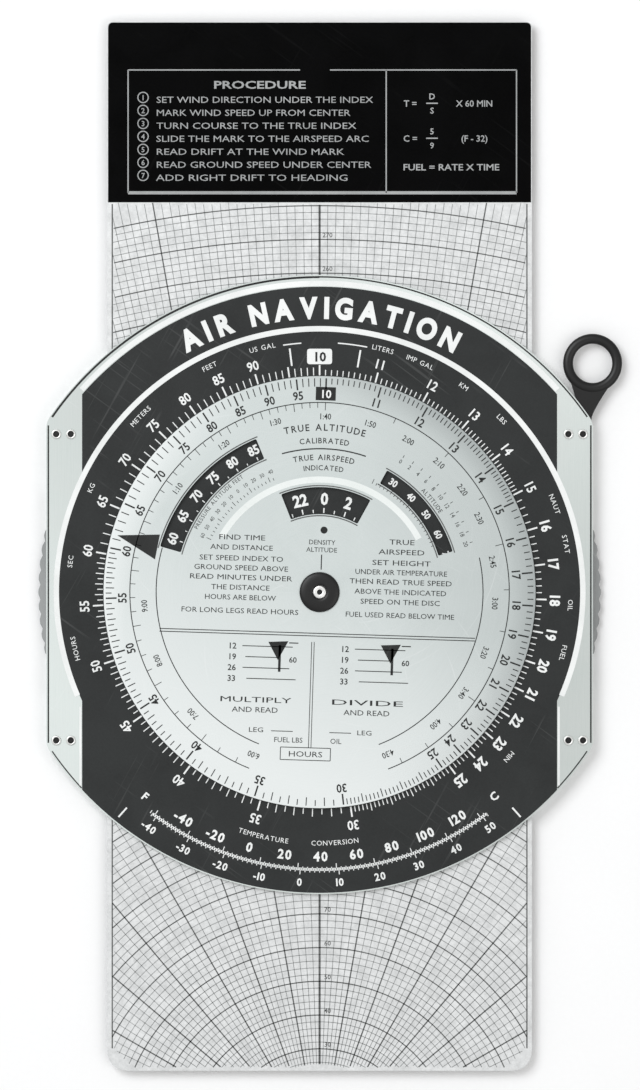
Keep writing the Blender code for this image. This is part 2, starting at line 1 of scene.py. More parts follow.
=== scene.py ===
"""Looks of a pilot's circular flight computer with a wind slide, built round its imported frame.

Each sub-assembly is a class with its sizes in millimetres, measured from the pivot that the
computer disc and the compass ring turn on, with +Y up the slide. Heights come from the frame.
"""
import json
import logging
import math
from dataclasses import dataclass, field
from enum import Enum

import bpy
from mathutils import Matrix, Vector


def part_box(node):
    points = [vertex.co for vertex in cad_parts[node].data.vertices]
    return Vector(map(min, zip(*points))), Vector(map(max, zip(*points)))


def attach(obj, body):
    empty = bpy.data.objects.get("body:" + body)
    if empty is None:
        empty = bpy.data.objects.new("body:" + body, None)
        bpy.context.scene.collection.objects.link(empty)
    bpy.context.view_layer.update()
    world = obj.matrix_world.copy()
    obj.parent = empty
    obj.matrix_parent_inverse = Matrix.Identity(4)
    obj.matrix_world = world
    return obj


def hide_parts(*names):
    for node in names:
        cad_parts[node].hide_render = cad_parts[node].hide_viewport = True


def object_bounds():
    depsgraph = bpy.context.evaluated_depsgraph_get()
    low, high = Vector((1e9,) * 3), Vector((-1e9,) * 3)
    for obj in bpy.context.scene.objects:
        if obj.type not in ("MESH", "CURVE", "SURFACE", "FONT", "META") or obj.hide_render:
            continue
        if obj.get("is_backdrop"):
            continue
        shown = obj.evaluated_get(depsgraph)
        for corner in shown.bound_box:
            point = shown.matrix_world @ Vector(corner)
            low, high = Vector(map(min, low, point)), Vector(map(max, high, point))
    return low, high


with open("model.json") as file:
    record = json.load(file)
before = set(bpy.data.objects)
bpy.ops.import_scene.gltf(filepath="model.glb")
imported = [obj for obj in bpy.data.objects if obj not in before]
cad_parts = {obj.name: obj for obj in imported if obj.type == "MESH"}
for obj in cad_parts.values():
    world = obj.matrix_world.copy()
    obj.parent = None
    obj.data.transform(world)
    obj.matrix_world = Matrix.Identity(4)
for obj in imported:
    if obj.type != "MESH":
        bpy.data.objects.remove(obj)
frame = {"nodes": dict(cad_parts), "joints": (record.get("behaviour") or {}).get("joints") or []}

LOG = logging.getLogger("flight_computer")
Colour = tuple[float, float, float]
Point = tuple[float, float]
Loop = list[Point]

MM = 0.001
# Points nearer than this become one: in metres, and in capital heights for lettering.
MERGE = 1e-6
LETTER_MERGE = 1e-4
# How far ink stands on a sheet and how far it sinks in, in millimetres.
INK_HEIGHT = 0.03
INK_SINK = 0.01
# How finely letters are curved; strokes heavier than TITLE_WEIGHT get the finer steps.
TEXT_CURVE_STEPS = 2
TITLE_CURVE_STEPS = 6
TITLE_WEIGHT = 0.04
# How marks run: the two ways scratches lie (in radians), how far marks are drawn out, and
# the radius in metres at which marks round an axis keep their true length.
SCRATCH_TURNS = (0.5, 2.2)
SCRATCH_STRETCH = (1.0, 0.02, 1.0)
DRAWN_STRETCH = (1.0, 0.03, 1.0)
UNROLLED_RADIUS = 0.03
# The painted reflections of the computer disc: painted shade on its right-hand rim and face,
# and a painted highlight on its far rim and lower face. Each pair says where, in metres out
# from the pivot, a patch begins and where it is full; the two sides are the ways it is measured.
PAINTED_SHADE_SIDE = (0.97, 0.25, 0.0)
PAINTED_HIGHLIGHT_SIDE = (-0.35, -0.94, 0.0)
RIM = (0.042, 0.052)
SHADE_RIM_REACH = (0.004, 0.034)
SHADE_FACE_REACH = (0.012, 0.056)
HIGHLIGHT_RIM_REACH = (-0.004, -0.03)
HIGHLIGHT_FACE_REACH = (-0.005, 0.045)
PAINTED_SHADE_TONE = (0.45, 0.45, 0.46)
PAINTED_HIGHLIGHT = (0.93, 0.95, 0.945)
HIGHLIGHT_RIM_SHARE = 0.6
HIGHLIGHT_FACE_SHARE = 0.55


class Grain(Enum):
    """How the fine marks in a surface run."""

    EVEN = "even"
    ALONG = "along"
    AROUND = "around"


class Side(Enum):
    """Which face of a sheet a print lies on."""

    FRONT = 1
    REAR = -1


class Slot(Enum):
    """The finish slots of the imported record."""

    BLACK = "black_print"
    SILVER = "silver_sheet"
    WHITE = "white_print"
    PIN = "bright_pin"
    OXIDE = "black_oxide"
    STEEL = "spring_steel"
    CLEAR = "frosted_clear"
    NYLON = "nylon"


# ---------------------------------------------------------------- the pivot and the layers


def joint_place(name: str) -> Vector:
    """Finds where a joint of the frame sits.

    Args:
        name: The joint's name in the record.

    Returns:
        The joint's place in metres.
    """
    for joint in frame["joints"]:
        if joint["name"] == name:
            return Vector(joint["pos_m"])
    raise ValueError(f"the frame has no joint {name}")


PIVOT = joint_place("disc_turn")
TANG = joint_place("lanyard_swing")


def layer(name: str) -> tuple[float, float]:
    """Reads the heights of a node's lower and upper face.

    Args:
        name: The node's name in the frame.

    Returns:
        The two heights in millimetres.
    """
    low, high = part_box(name)
    return low.z / MM, high.z / MM


def reach(name: str) -> tuple[Point, Point]:
    """Reads a node's outline box, measured from the pivot.

    Args:
        name: The node's name in the frame.

    Returns:
        The lowest and highest x and y in millimetres.
    """
    low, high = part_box(name)
    return (
        ((low.x - PIVOT.x) / MM, (low.y - PIVOT.y) / MM),
        ((high.x - PIVOT.x) / MM, (high.y - PIVOT.y) / MM),
    )


def centre_of(name: str) -> Point:
    """Returns the middle of a node's outline box, measured from the pivot."""
    lows, highs = reach(name)
    return (lows[0] + highs[0]) / 2, (lows[1] + highs[1]) / 2


# ---------------------------------------------------------------- shared surface effects


def group_tree(name: str, inputs: dict[str, object], outputs: dict[str, str]) -> bpy.types.NodeTree:
    """Makes an empty shader node group with its sockets.

    Args:
        name: The group's name.
        inputs: Socket name to default value; a tuple makes a vector socket.
        outputs: Socket name to socket kind.

    Returns:
        The new node tree, with its input and output nodes.
    """
    tree = bpy.data.node_groups.new(name, "ShaderNodeTree")
    for label, value in inputs.items():
        kind = "NodeSocketVector" if isinstance(value, tuple) else "NodeSocketFloat"
        socket = tree.interface.new_socket(name=label, in_out="INPUT", socket_type=kind)
        socket.default_value = value
    for label, kind in outputs.items():
        tree.interface.new_socket(name=label, in_out="OUTPUT", socket_type=kind)
    tree.nodes.new("NodeGroupInput")
    tree.nodes.new("NodeGroupOutput")
    return tree


def node(tree: bpy.types.NodeTree, kind: str, values: dict[object, object] | None = None,
         **settings: object) -> bpy.types.Node:
    """Adds a node and fills it in.

    Args:
        tree: The node tree it goes into.
        kind: The node's type, without the ShaderNode prefix.
        values: Input socket (name or number) to a value, or to a socket that feeds it.
        settings: Properties of the node itself.

    Returns:
        The new node.
    """
    made = tree.nodes.new("ShaderNode" + kind)
    for label, value in settings.items():
        setattr(made, label, value)
    for label, value in (values or {}).items():
        if isinstance(value, bpy.types.NodeSocket):
            tree.links.new(value, made.inputs[label])
        else:
            made.inputs[label].default_value = value
    return made


def ends(tree: bpy.types.NodeTree) -> tuple[bpy.types.Node, bpy.types.Node]:
    """Returns a group's input node and output node."""
    return tree.nodes["Group Input"], tree.nodes["Group Output"]


def ramp(tree: bpy.types.NodeTree, value: bpy.types.NodeSocket, start: float, end: float,
         low: float = 0.0, high: float = 1.0) -> bpy.types.NodeSocket:
    """Stretches a value from one range to another, and holds it at that range's ends.

    Args:
        tree: The node tree.
        value: The value.
        start: The value that gives the low end.
        end: The value that gives the high end.
        low: What the low end gives.
        high: What the high end gives.

    Returns:
        The stretched value's socket.
    """
    return node(tree, "MapRange", {0: value, 1: start, 2: end, 3: low, 4: high}).outputs[0]


def reckoned(tree: bpy.types.NodeTree, operation: str, first: object,
             second: object) -> bpy.types.NodeSocket:
    """Reckons with two values, each a number or a socket.

    Args:
        tree: The node tree.
        operation: What is done with them.
        first: The first value.
        second: The second value.

    Returns:
        The result's socket.
    """
    return node(tree, "Math", {0: first, 1: second}, operation=operation).outputs[0]


def moved(tree: bpy.types.NodeTree, operation: str, first: bpy.types.NodeSocket,
          second: object) -> bpy.types.NodeSocket:
    """Reckons with a place and a second place or direction.

    Args:
        tree: The node tree.
        operation: What is done with them.
        first: The place.
        second: The other, a socket or three numbers.

    Returns:
        The socket of the resulting place, or of the number for a dot product.
    """
    made = node(tree, "VectorMath", {0: first, 1: second}, operation=operation)
    return made.outputs["Value" if operation == "DOT_PRODUCT" else "Vector"]


def flat_length(tree: bpy.types.NodeTree, place: bpy.types.NodeSocket) -> bpy.types.NodeSocket:
    """Measures how far a place lies from the Z axis.

    Args:
        tree: The node tree.
        place: The place.

    Returns:
        The distance's socket.
    """
    flat = moved(tree, "MULTIPLY", place, (1.0, 1.0, 0.0))
    return node(tree, "VectorMath", {0: flat}, operation="LENGTH").outputs["Value"]


def turned_space() -> bpy.types.NodeTree:
    """Makes the group that unrolls a surface about an axis, for marks that run round it.

    Returns:
        The node group, which gives radius, length round and height.
    """
    tree = group_tree("turned_space", {"Vector": (0.0, 0.0, 0.0), "Centre": (0.0, 0.0, 0.0)},
                      {"Vector": "NodeSocketVector"})
    start, end = ends(tree)
    local = moved(tree, "SUBTRACT", start.outputs["Vector"], start.outputs["Centre"])
    parts = node(tree, "SeparateXYZ", {0: local})
    turn = reckoned(tree, "ARCTAN2", parts.outputs[1], parts.outputs[0])
    out = node(tree, "CombineXYZ", {0: flat_length(tree, local),
                                    1: reckoned(tree, "MULTIPLY", turn, UNROLLED_RADIUS),
                                    2: parts.outputs[2]})
    tree.links.new(out.outputs[0], end.inputs["Vector"])
    return tree


def fine_grain() -> bpy.types.NodeTree:
    """Makes the group of drawn or rolled grain: long fine marks over a short broken one.

    Returns:
        The node group, with a Value to colour by and a Height to emboss by.
    """
    tree = group_tree("fine_grain", {"Vector": (0.0, 0.0, 0.0), "Scale": 1000.0,
                                     "Stretch": (1.0, 1.0, 1.0)},
                      {"Value": "NodeSocketFloat", "Height": "NodeSocketFloat"})
    start, end = ends(tree)
    place, scale = start.outputs["Vector"], start.outputs["Scale"]
    drawn = moved(tree, "MULTIPLY", place, start.outputs["Stretch"])
    long_marks = node(tree, "TexNoise", {"Vector": drawn, "Scale": scale, "Detail": 4.0,
                                         "Roughness": 0.62})
    short_marks = node(tree, "TexNoise", {"Vector": place, "Detail": 2.0,
                                          "Scale": reckoned(tree, "MULTIPLY", scale, 2.7)})
    both = node(tree, "Mix", {0: 0.25, 2: long_marks.outputs[0], 3: short_marks.outputs[0]})
    tree.links.new(ramp(tree, both.outputs[0], 0.3, 0.7), end.inputs["Value"])
    tree.links.new(both.outputs[0], end.inputs["Height"])
    return tree


def handling_marks() -> bpy.types.NodeTree:
    """Makes the group of soft smudges and dull patches that hands leave.

    Returns:
        The node group, with a soft Mask.
    """
    tree = group_tree("handling_marks", {"Vector": (0.0, 0.0, 0.0), "Scale": 60.0},
                      {"Mask": "NodeSocketFloat"})
    start, end = ends(tree)
    cloud = node(tree, "TexNoise", {"Vector": start.outputs["Vector"], "Scale": start.outputs["Scale"],
                                    "Detail": 5.0, "Roughness": 0.58, "Distortion": 0.6})
    tree.links.new(ramp(tree, cloud.outputs[0], 0.36, 0.66), end.inputs["Mask"])
    return tree


def hair_scratches() -> bpy.types.NodeTree:
    """Makes the group of fine straight scratches that lie in two slanting directions.

    Returns:
        The node group, with a thin-lined Mask.
    """
    tree = group_tree("hair_scratches", {"Vector": (0.0, 0.0, 0.0), "Scale": 1500.0},
                      {"Mask": "NodeSocketFloat"})
    start, end = ends(tree)
    place = start.outputs["Vector"]
    runs = []
    for turn in SCRATCH_TURNS:
        turned = node(tree, "VectorRotate", {"Vector": place, "Angle": turn},
                      rotation_type="Z_AXIS")
        drawn = moved(tree, "MULTIPLY", turned.outputs[0], SCRATCH_STRETCH)
        lines = node(tree, "TexNoise", {"Vector": drawn, "Scale": start.outputs["Scale"],
                                        "Detail": 1.0})
        runs.append(ramp(tree, lines.outputs[0], 0.66, 0.74))
    gaps = node(tree, "TexNoise", {"Vector": place, "Scale": 80.0, "Detail": 2.0})
    mask = reckoned(tree, "MULTIPLY", reckoned(tree, "MAXIMUM", *runs),
                    ramp(tree, gaps.outputs[0], 0.46, 0.62))
    tree.links.new(mask, end.inputs["Mask"])
    return tree


def edge_wear() -> bpy.types.NodeTree:
    """Makes the group that finds a sheet's rounded edges, broken up as rubbing leaves them.

    Returns:
        The node group, with a Mask of the worn edges.
    """
    tree = group_tree("edge_wear", {"Vector": (0.0, 0.0, 0.0)}, {"Mask": "NodeSocketFloat"})
    start, end = ends(tree)
    shape = node(tree, "NewGeometry")
    parts = node(tree, "SeparateXYZ", {0: shape.outputs["True Normal"]})
    level = node(tree, "Math", {0: parts.outputs[2]}, operation="ABSOLUTE")
    broken = node(tree, "TexNoise", {"Vector": start.outputs["Vector"], "Scale": 700.0,
                                     "Detail": 3.0})
    mask = reckoned(tree, "MULTIPLY", ramp(tree, level.outputs[0], 0.998, 0.85),
                    ramp(tree, broken.outputs[0], 0.35, 0.65))
    tree.links.new(mask, end.inputs["Mask"])
    return tree


GROUPS = {make.__name__: make() for make in
          (turned_space, fine_grain, handling_marks, hair_scratches, edge_wear)}


def placed(tree: bpy.types.NodeTree, name: str, values: dict[str, object]) -> bpy.types.Node:
    """Places a shared effect in a material.

    Args:
        tree: The material's node tree.
        name: The effect's name in GROUPS.
        values: The effect's own inputs.

    Returns:
        The group node.
    """
    return node(tree, "Group", values, node_tree=GROUPS[name])


def blended(tree: bpy.types.NodeTree, mask: bpy.types.NodeSocket, under: object,
            over: object) -> bpy.types.NodeSocket:
    """Lays one colour over another through a mask.

    Args:
        tree: The material's node tree.
        mask: Where the second colour shows.
        under: The first colour, a tuple or a socket.
        over: The second colour, a tuple or a socket.

    Returns:
        The mixed colour's socket.
    """
    mix = node(tree, "Mix", data_type="RGBA")
    tree.links.new(mask, mix.inputs[0])
    for slot_number, colour in ((6, under), (7, over)):
        if isinstance(colour, bpy.types.NodeSocket):
            tree.links.new(colour, mix.inputs[slot_number])
        else:
            mix.inputs[slot_number].default_value = (*colour, 1.0)
    return mix.outputs[2]


# ---------------------------------------------------------------- finishes


@dataclass(frozen=True)
class Finish:
    """One surface finish. Lengths are in millimetres."""

    name: str
    light: Colour
    dark: Colour
    bare: Colour
    metallic: float = 0.0
    smooth: float = 0.35
    rough: float = 0.55
    grain: Grain = Grain.EVEN
    grain_size: float = 0.35
    grain_depth: float = 0.01
    grain_tint: float = 0.5
    mottle_size: float = 14.0
    mottle: float = 0.5
    scratches: float = 0.2
    wear: float = 0.3
    transmission: float = 0.0
    anisotropy: float = 0.0
    specular: float = 0.5
    tarnish: float = 0.0

    def vector(self, tree: bpy.types.NodeTree) -> bpy.types.NodeSocket:
        """Gives the space that the finish's marks lie in.

        Args:
            tree: The material's node tree.

        Returns:
            The socket with the object's own coordinates, unrolled for turned work.
        """
        place = node(tree, "TexCoord").outputs["Object"]
        if self.grain is not Grain.AROUND:
            return place
        return placed(tree, "turned_space",
                      {"Vector": place, "Centre": (PIVOT.x, PIVOT.y, 0.0)}).outputs[0]

    def material(self) -> bpy.types.Material:
        """Makes the finish's material, once.

        Returns:
            The material.
        """
        known = bpy.data.materials.get(self.name)
        if known:
            return known
        made = bpy.data.materials.new(self.name)
        made.use_nodes = True
        tree = made.node_tree
        shader = tree.nodes["Principled BSDF"]
        place = self.vector(tree)
        stretch = (1.0, 1.0, 1.0) if self.grain is Grain.EVEN else DRAWN_STRETCH
        grain = placed(tree, "fine_grain", {"Vector": place, "Scale": 1.0 / (self.grain_size * MM),
                                            "Stretch": stretch})
        marks = placed(tree, "handling_marks",
                       {"Vector": place, "Scale": 1.0 / (self.mottle_size * MM)})
        shade = self.together(tree, grain.outputs["Value"], self.grain_tint, marks.outputs[0],
                              self.mottle)
        body = blended(tree, shade, self.light, self.dark)
        # Painted reflections: shade on the disc's right-hand side and a highlight at its lower left.
        if self.tarnish:
            body = self.tarnished(tree, body)
        scratch = placed(tree, "hair_scratches", {"Vector": place})
        worn = placed(tree, "edge_wear", {"Vector": place})
        rubbed = self.together(tree, scratch.outputs[0], self.scratches, worn.outputs[0], self.wear)
        tree.links.new(blended(tree, rubbed, body, self.bare), shader.inputs["Base Color"])
        tree.links.new(ramp(tree, shade, 0.0, 1.0, self.smooth, self.rough),
                       shader.inputs["Roughness"])
        bump = node(tree, "Bump", {"Height": grain.outputs["Height"],
                                   "Distance": self.grain_depth * MM, "Strength": 1.0})
        tree.links.new(bump.outputs[0], shader.inputs["Normal"])
        for label, value in (("Metallic", self.metallic), ("Anisotropic", self.anisotropy),
                             ("Transmission Weight", self.transmission),
                             ("Specular IOR Level", self.specular)):
            shader.inputs[label].default_value = value
        return made

    def tarnished(self, tree: bpy.types.NodeTree,
                  colour: bpy.types.NodeSocket) -> bpy.types.NodeSocket:
        """Paints shade on the right-hand rim and face, and a highlight on the far rim and lower face,
        in place of reflections.

        Args:
            tree: The material's node tree.
            colour: The finish's colour.

        Returns:
            The colour with the painted shade and the painted highlight.
        """
        place = node(tree, "TexCoord").outputs["Object"]
        local = moved(tree, "SUBTRACT", place, (PIVOT.x, PIVOT.y, 0.0))
        across = moved(tree, "DOT_PRODUCT", local, PAINTED_SHADE_SIDE)
        rim = ramp(tree, flat_length(tree, local), *RIM)
        right = ramp(tree, across, *SHADE_RIM_REACH, 0.0, self.tarnish)
        # The worn mask here is painted shade, not wear.
        worn = reckoned(tree, "MAXIMUM", ramp(tree, across, *SHADE_FACE_REACH, 0.0, self.tarnish / 2),
                        reckoned(tree, "MULTIPLY", rim, right))
        dull = tuple(shade * share for shade, share in zip(self.dark, PAINTED_SHADE_TONE))
        dulled = blended(tree, worn, colour, dull)
        # The rubbed patches below are a painted highlight, not wear.
        left = ramp(tree, across, *HIGHLIGHT_RIM_REACH, 0.0, HIGHLIGHT_RIM_SHARE)
        below = moved(tree, "DOT_PRODUCT", local, PAINTED_HIGHLIGHT_SIDE)
        rubbed = reckoned(tree, "MAXIMUM", ramp(tree, below, *HIGHLIGHT_FACE_REACH, 0.0, HIGHLIGHT_FACE_SHARE),
                          reckoned(tree, "MULTIPLY", rim, left))
        return blended(tree, rubbed, dulled, PAINTED_HIGHLIGHT)

    @staticmethod
    def together(tree: bpy.types.NodeTree, first: bpy.types.NodeSocket, first_share: float,
                 second: bpy.types.NodeSocket, second_share: float) -> bpy.types.NodeSocket:
        """Adds a share of one mask to a share of another.

        Args:
            tree: The material's node tree.
            first: The first mask.
            first_share: How much of it is kept.
            second: The second mask.
            second_share: How much of that is kept.

        Returns:
            The joint mask, held to 1.
        """
        weak = [reckoned(tree, "MULTIPLY", mask, share)
                for mask, share in ((first, first_share), (second, second_share))]
        return node(tree, "Math", {0: weak[0], 1: weak[1]}, operation="ADD",
                    use_clamp=True).outputs[0]


BARE = (0.82, 0.84, 0.83)
SHEET = Finish("brushed_sheet", (0.70, 0.74, 0.72), (0.56, 0.61, 0.59), (0.88, 0.9, 0.89),
               metallic=0.7, smooth=0.3, rough=0.48, grain=Grain.ALONG, grain_size=0.22,
               grain_depth=0.002, grain_tint=0.45, mottle=0.4, mottle_size=18.0, anisotropy=0.4)
RING_SHEET = Finish("turned_sheet", (0.40, 0.41, 0.41), (0.22, 0.23, 0.23), (0.7, 0.71, 0.71),
                    metallic=0.8, smooth=0.28, rough=0.46, grain=Grain.AROUND, grain_size=0.2,
                    grain_depth=0.002, anisotropy=0.4)
PANEL_BLACK = Finish("panel_black", (0.022, 0.0245, 0.0245), (0.012, 0.0135, 0.0135), BARE,
                     smooth=0.42, rough=0.6, grain_size=0.45, grain_depth=0.0008,
                     scratches=0.035, wear=0.2, specular=0.28)
HEADER_BLACK = Finish("header_black", (0.0028, 0.0028, 0.003), (0.0012, 0.0012, 0.0012),
                      (0.06, 0.06, 0.06), smooth=0.5, rough=0.66, grain_size=0.5,
                      grain_depth=0.0008, scratches=0.04, wear=0.1, specular=0.02)
# The disc's finish carries painted shade and a painted highlight in place of reflections.
DISC_FACE = Finish("disc_face", (0.65, 0.70, 0.69), (0.50, 0.545, 0.535), (0.84, 0.86, 0.86),
                   metallic=0.3, smooth=0.3, rough=0.48, grain=Grain.AROUND, grain_size=0.25,
                   grain_depth=0.001, grain_tint=0.35, mottle=0.3, mottle_size=16.0, wear=0.5,
                   tarnish=0.6)
SLIDE_FACE = Finish("slide_face", (0.80, 0.81, 0.81), (0.52, 0.53, 0.53), (0.45, 0.46, 0.46),
                    metallic=0.1, smooth=0.38, rough=0.6, grain_size=0.9, grain_depth=0.001,
                    grain_tint=0.6, mottle=0.4, mottle_size=4.0, scratches=0.2)
INK_BLACK = Finish("ink_black", (0.008, 0.009, 0.009), (0.03, 0.032, 0.031), (0.25, 0.25, 0.25),
                   smooth=0.45, rough=0.65, grain_size=0.2, grain_depth=0.0005, scratches=0.1,
                   specular=0.25)
INK_WHITE = Finish("ink_white", (0.9, 0.91, 0.9), (0.7, 0.72, 0.71), (0.4, 0.41, 0.4),
                   smooth=0.45, rough=0.65, grain_size=0.25, grain_depth=0.0005, scratches=0.1)
INK_PALE = Finish("ink_pale", (0.42, 0.43, 0.43), (0.25, 0.26, 0.26), (0.2, 0.2, 0.2),
                  smooth=0.45, rough=0.65, grain_size=0.3, grain_depth=0.0005, scratches=0.1)
INK_GREY = Finish("ink_grey", (0.045, 0.048, 0.047), (0.16, 0.165, 0.163), (0.4, 0.4, 0.4),
                  smooth=0.45, rough=0.65, grain_size=0.6, grain_depth=0.0005, scratches=0.1,
                  specular=0.3)
INK_FAINT = Finish("ink_faint", (0.09, 0.095, 0.093), (0.34, 0.35, 0.35), (0.55, 0.55, 0.55),
                   smooth=0.45, rough=0.65, grain_size=1.1, grain_depth=0.0005, grain_tint=0.8,
                   scratches=0.1, specular=0.3)
PALE_BAND = Finish("pale_band", (0.84, 0.87, 0.855), (0.72, 0.76, 0.74), (0.5, 0.5, 0.5),
                   smooth=0.4, rough=0.6, grain_size=0.3, grain_depth=0.0005, scratches=0.1)
OXIDE = Finish("black_oxide", (0.035, 0.035, 0.036), (0.016, 0.016, 0.017), (0.32, 0.32, 0.33),
               metallic=0.7, smooth=0.32, rough=0.5, grain_size=0.3, grain_depth=0.003, wear=0.12)
BRIGHT = Finish("bright_pin", (0.86, 0.86, 0.85), (0.6, 0.6, 0.6), (0.97, 0.97, 0.97),
                metallic=1.0, smooth=0.2, rough=0.38, grain_size=0.2,
                grain_depth=0.002, wear=0.2)
STEEL = Finish("spring_steel", (0.5, 0.52, 0.54), (0.3, 0.31, 0.33), (0.7, 0.7, 0.7),
               metallic=1.0, smooth=0.24, rough=0.42, grain=Grain.ALONG, grain_size=0.15,
               grain_depth=0.002)
NYLON = Finish("nylon", (0.72, 0.7, 0.64), (0.6, 0.58, 0.52), (0.85, 0.84, 0.8),
               smooth=0.4, rough=0.6, grain_size=0.4)
CLEAR = Finish("frosted_clear", (0.95, 0.965, 0.96), (0.86, 0.89, 0.88), (1.0, 1.0, 1.0),
               smooth=0.16, rough=0.42, grain_size=0.5, grain_depth=0.004, transmission=1.0)
TABLE_TOP = Finish("table_top", (0.93, 0.93, 0.93), (0.9, 0.9, 0.9), (0.95, 0.95, 0.95),
                   smooth=0.6, rough=0.75, grain_size=1.2, grain_depth=0.01, mottle_size=60.0,
                   scratches=0.0, wear=0.0)


# ---------------------------------------------------------------- outlines


def clock(radius: float, angle: float, centre: Point = (0.0, 0.0)) -> Point:
    """Returns the point at a radius and a clockwise angle from +Y, in degrees."""
    turn = math.radians(angle)
    return centre[0] + radius * math.sin(turn), centre[1] + radius * math.cos(turn)


def sweep(radius: float, start: float, end: float, steps: int,
          centre: Point = (0.0, 0.0)) -> Loop:
    """Walks along an arc between two clockwise angles.

    Args:
        radius: The arc's radius.
        start: The first angle, in degrees from +Y.
        end: The last angle.
        steps: How many chords it has.
        centre: The arc's centre.

    Returns:
        The points of the arc.
    """
    return [clock(radius, start + (end - start) * step / steps, centre)
            for step in range(steps + 1)]


def circle(radius: float, steps: int, centre: Point = (0.0, 0.0)) -> Loop:
    """Returns a full circle as a loop of points."""
    return sweep(radius, 0.0, 360.0, steps, centre)[:-1]


def rounded(points: Loop, radii: dict[int, float], steps: int = 6) -> Loop:
    """Rounds some corners of an outline.

    Args:
        points: The outline.
        radii: Corner number to how far along its sides the rounding starts.
        steps: How many chords each rounding has.

    Returns:
        The rounded outline.
    """
    loop: Loop = []
    for index, corner in enumerate(points):
        if index not in radii:
            loop.append(corner)
            continue
        tip = Vector(corner)
        ends_at = [tip + (Vector(other) - tip).normalized() * radii[index]
                   for other in (points[index - 1], points[(index + 1) % len(points)])]
        for step in range(steps + 1):
            part = step / steps
            spot = (ends_at[0] * (1 - part) ** 2 + tip * 2 * part * (1 - part)
                    + ends_at[1] * part ** 2)
            loop.append((spot.x, spot.y))
    return loop


# ---------------------------------------------------------------- bench work


def select_only(*objects: bpy.types.Object) -> None:
    """Selects just these objects and makes the first one active.

    Args:
        objects: What to select.
    """
    bpy.ops.object.select_all(action="DESELECT")
    for piece in objects:
        piece.select_set(True)
    bpy.context.view_layer.objects.active = objects[0]


def tidy_mesh(piece: bpy.types.Object, steps: int = 0, merge: float = MERGE) -> None:
    """Merges doubles and points the faces outwards, after turning a profile if steps are given.

    Args:
        piece: The object whose mesh is worked on.
        steps: How many steps the turning about the Z axis has; none leaves the mesh as it is.
        merge: How near two points are that become one.
    """
    select_only(piece)
    bpy.ops.object.mode_set(mode="EDIT")
    bpy.ops.mesh.select_all(action="SELECT")
    if steps:
        bpy.ops.mesh.spin(steps=steps, angle=2 * math.pi, center=(0.0, 0.0, 0.0),
                          axis=(0.0, 0.0, 1.0))
        bpy.ops.mesh.select_all(action="SELECT")
    bpy.ops.mesh.remove_doubles(threshold=merge)
    bpy.ops.mesh.normals_make_consistent(inside=False)
    bpy.ops.object.mode_set(mode="OBJECT")


def flat_mesh(name: str, loops: list[Loop], low: float, high: float) -> bpy.types.Object:
    """Cuts a flat sheet from outlines; loops after the first are holes.

    Args:
        name: The piece's name.
        loops: Its outlines, in millimetres.
        low: The height of its lower face, in millimetres.
        high: The height of its upper face.

    Returns:
        The sheet, at its height, still centred on the origin.
    """
    curve = bpy.data.curves.new(name, "CURVE")
    curve.dimensions = "2D"
    curve.fill_mode = "BOTH"
    curve.extrude = (high - low) / 2 * MM
    for loop in loops:
        spline = curve.splines.new("POLY")
        spline.points.add(len(loop) - 1)
        for point, (x, y) in zip(spline.points, loop):
            point.co = (x * MM, y * MM, 0.0, 1.0)
        spline.use_cyclic_u = True
    piece = bpy.data.objects.new(name, curve)
    bpy.context.scene.collection.objects.link(piece)
    select_only(piece)
    bpy.ops.object.convert(target="MESH")
    tidy_mesh(piece)
    piece.data.transform(Matrix.Translation((0.0, 0.0, (low + high) / 2 * MM)))
    return piece


def soften(piece: bpy.types.Object, edge: float, smooth: float = 32.0) -> bpy.types.Object:
    """Rounds a piece's edges and shades its curved faces smooth.

    Args:
        piece: The piece.
        edge: How far the rounding reaches, in millimetres.
        smooth: The angle up to which faces shade as one, in degrees.

    Returns:
        The piece.
    """
    select_only(piece)
    bpy.ops.object.shade_smooth_by_angle(angle=math.radians(smooth))
    if edge > 0.0:
        bevel = piece.modifiers.new("eased_edges", "BEVEL")
        bevel.width = edge * MM
        bevel.segments = 3
        bevel.limit_method = "ANGLE"
        bevel.angle_limit = math.radians(45.0)
        bevel.harden_normals = True
        bpy.ops.object.modifier_apply(modifier=bevel.name)
    return piece


def flat_piece(name: str, loops: list[Loop], low: float, high: float,
               edge: float) -> bpy.types.Object:
    """Cuts a sheet-metal piece about the pivot and eases its edges.

    Args:
        name: The piece's name.
        loops: Its outlines from the pivot, in millimetres.
        low: The height of its lower face.
        high: The height of its upper face.
        edge: How far its edges are eased.

    Returns:
        The finished piece.
    """
    piece = flat_mesh(name, loops, low, high)
    piece.data.transform(Matrix.Translation((PIVOT.x, PIVOT.y, 0.0)))
    return soften(piece, edge)


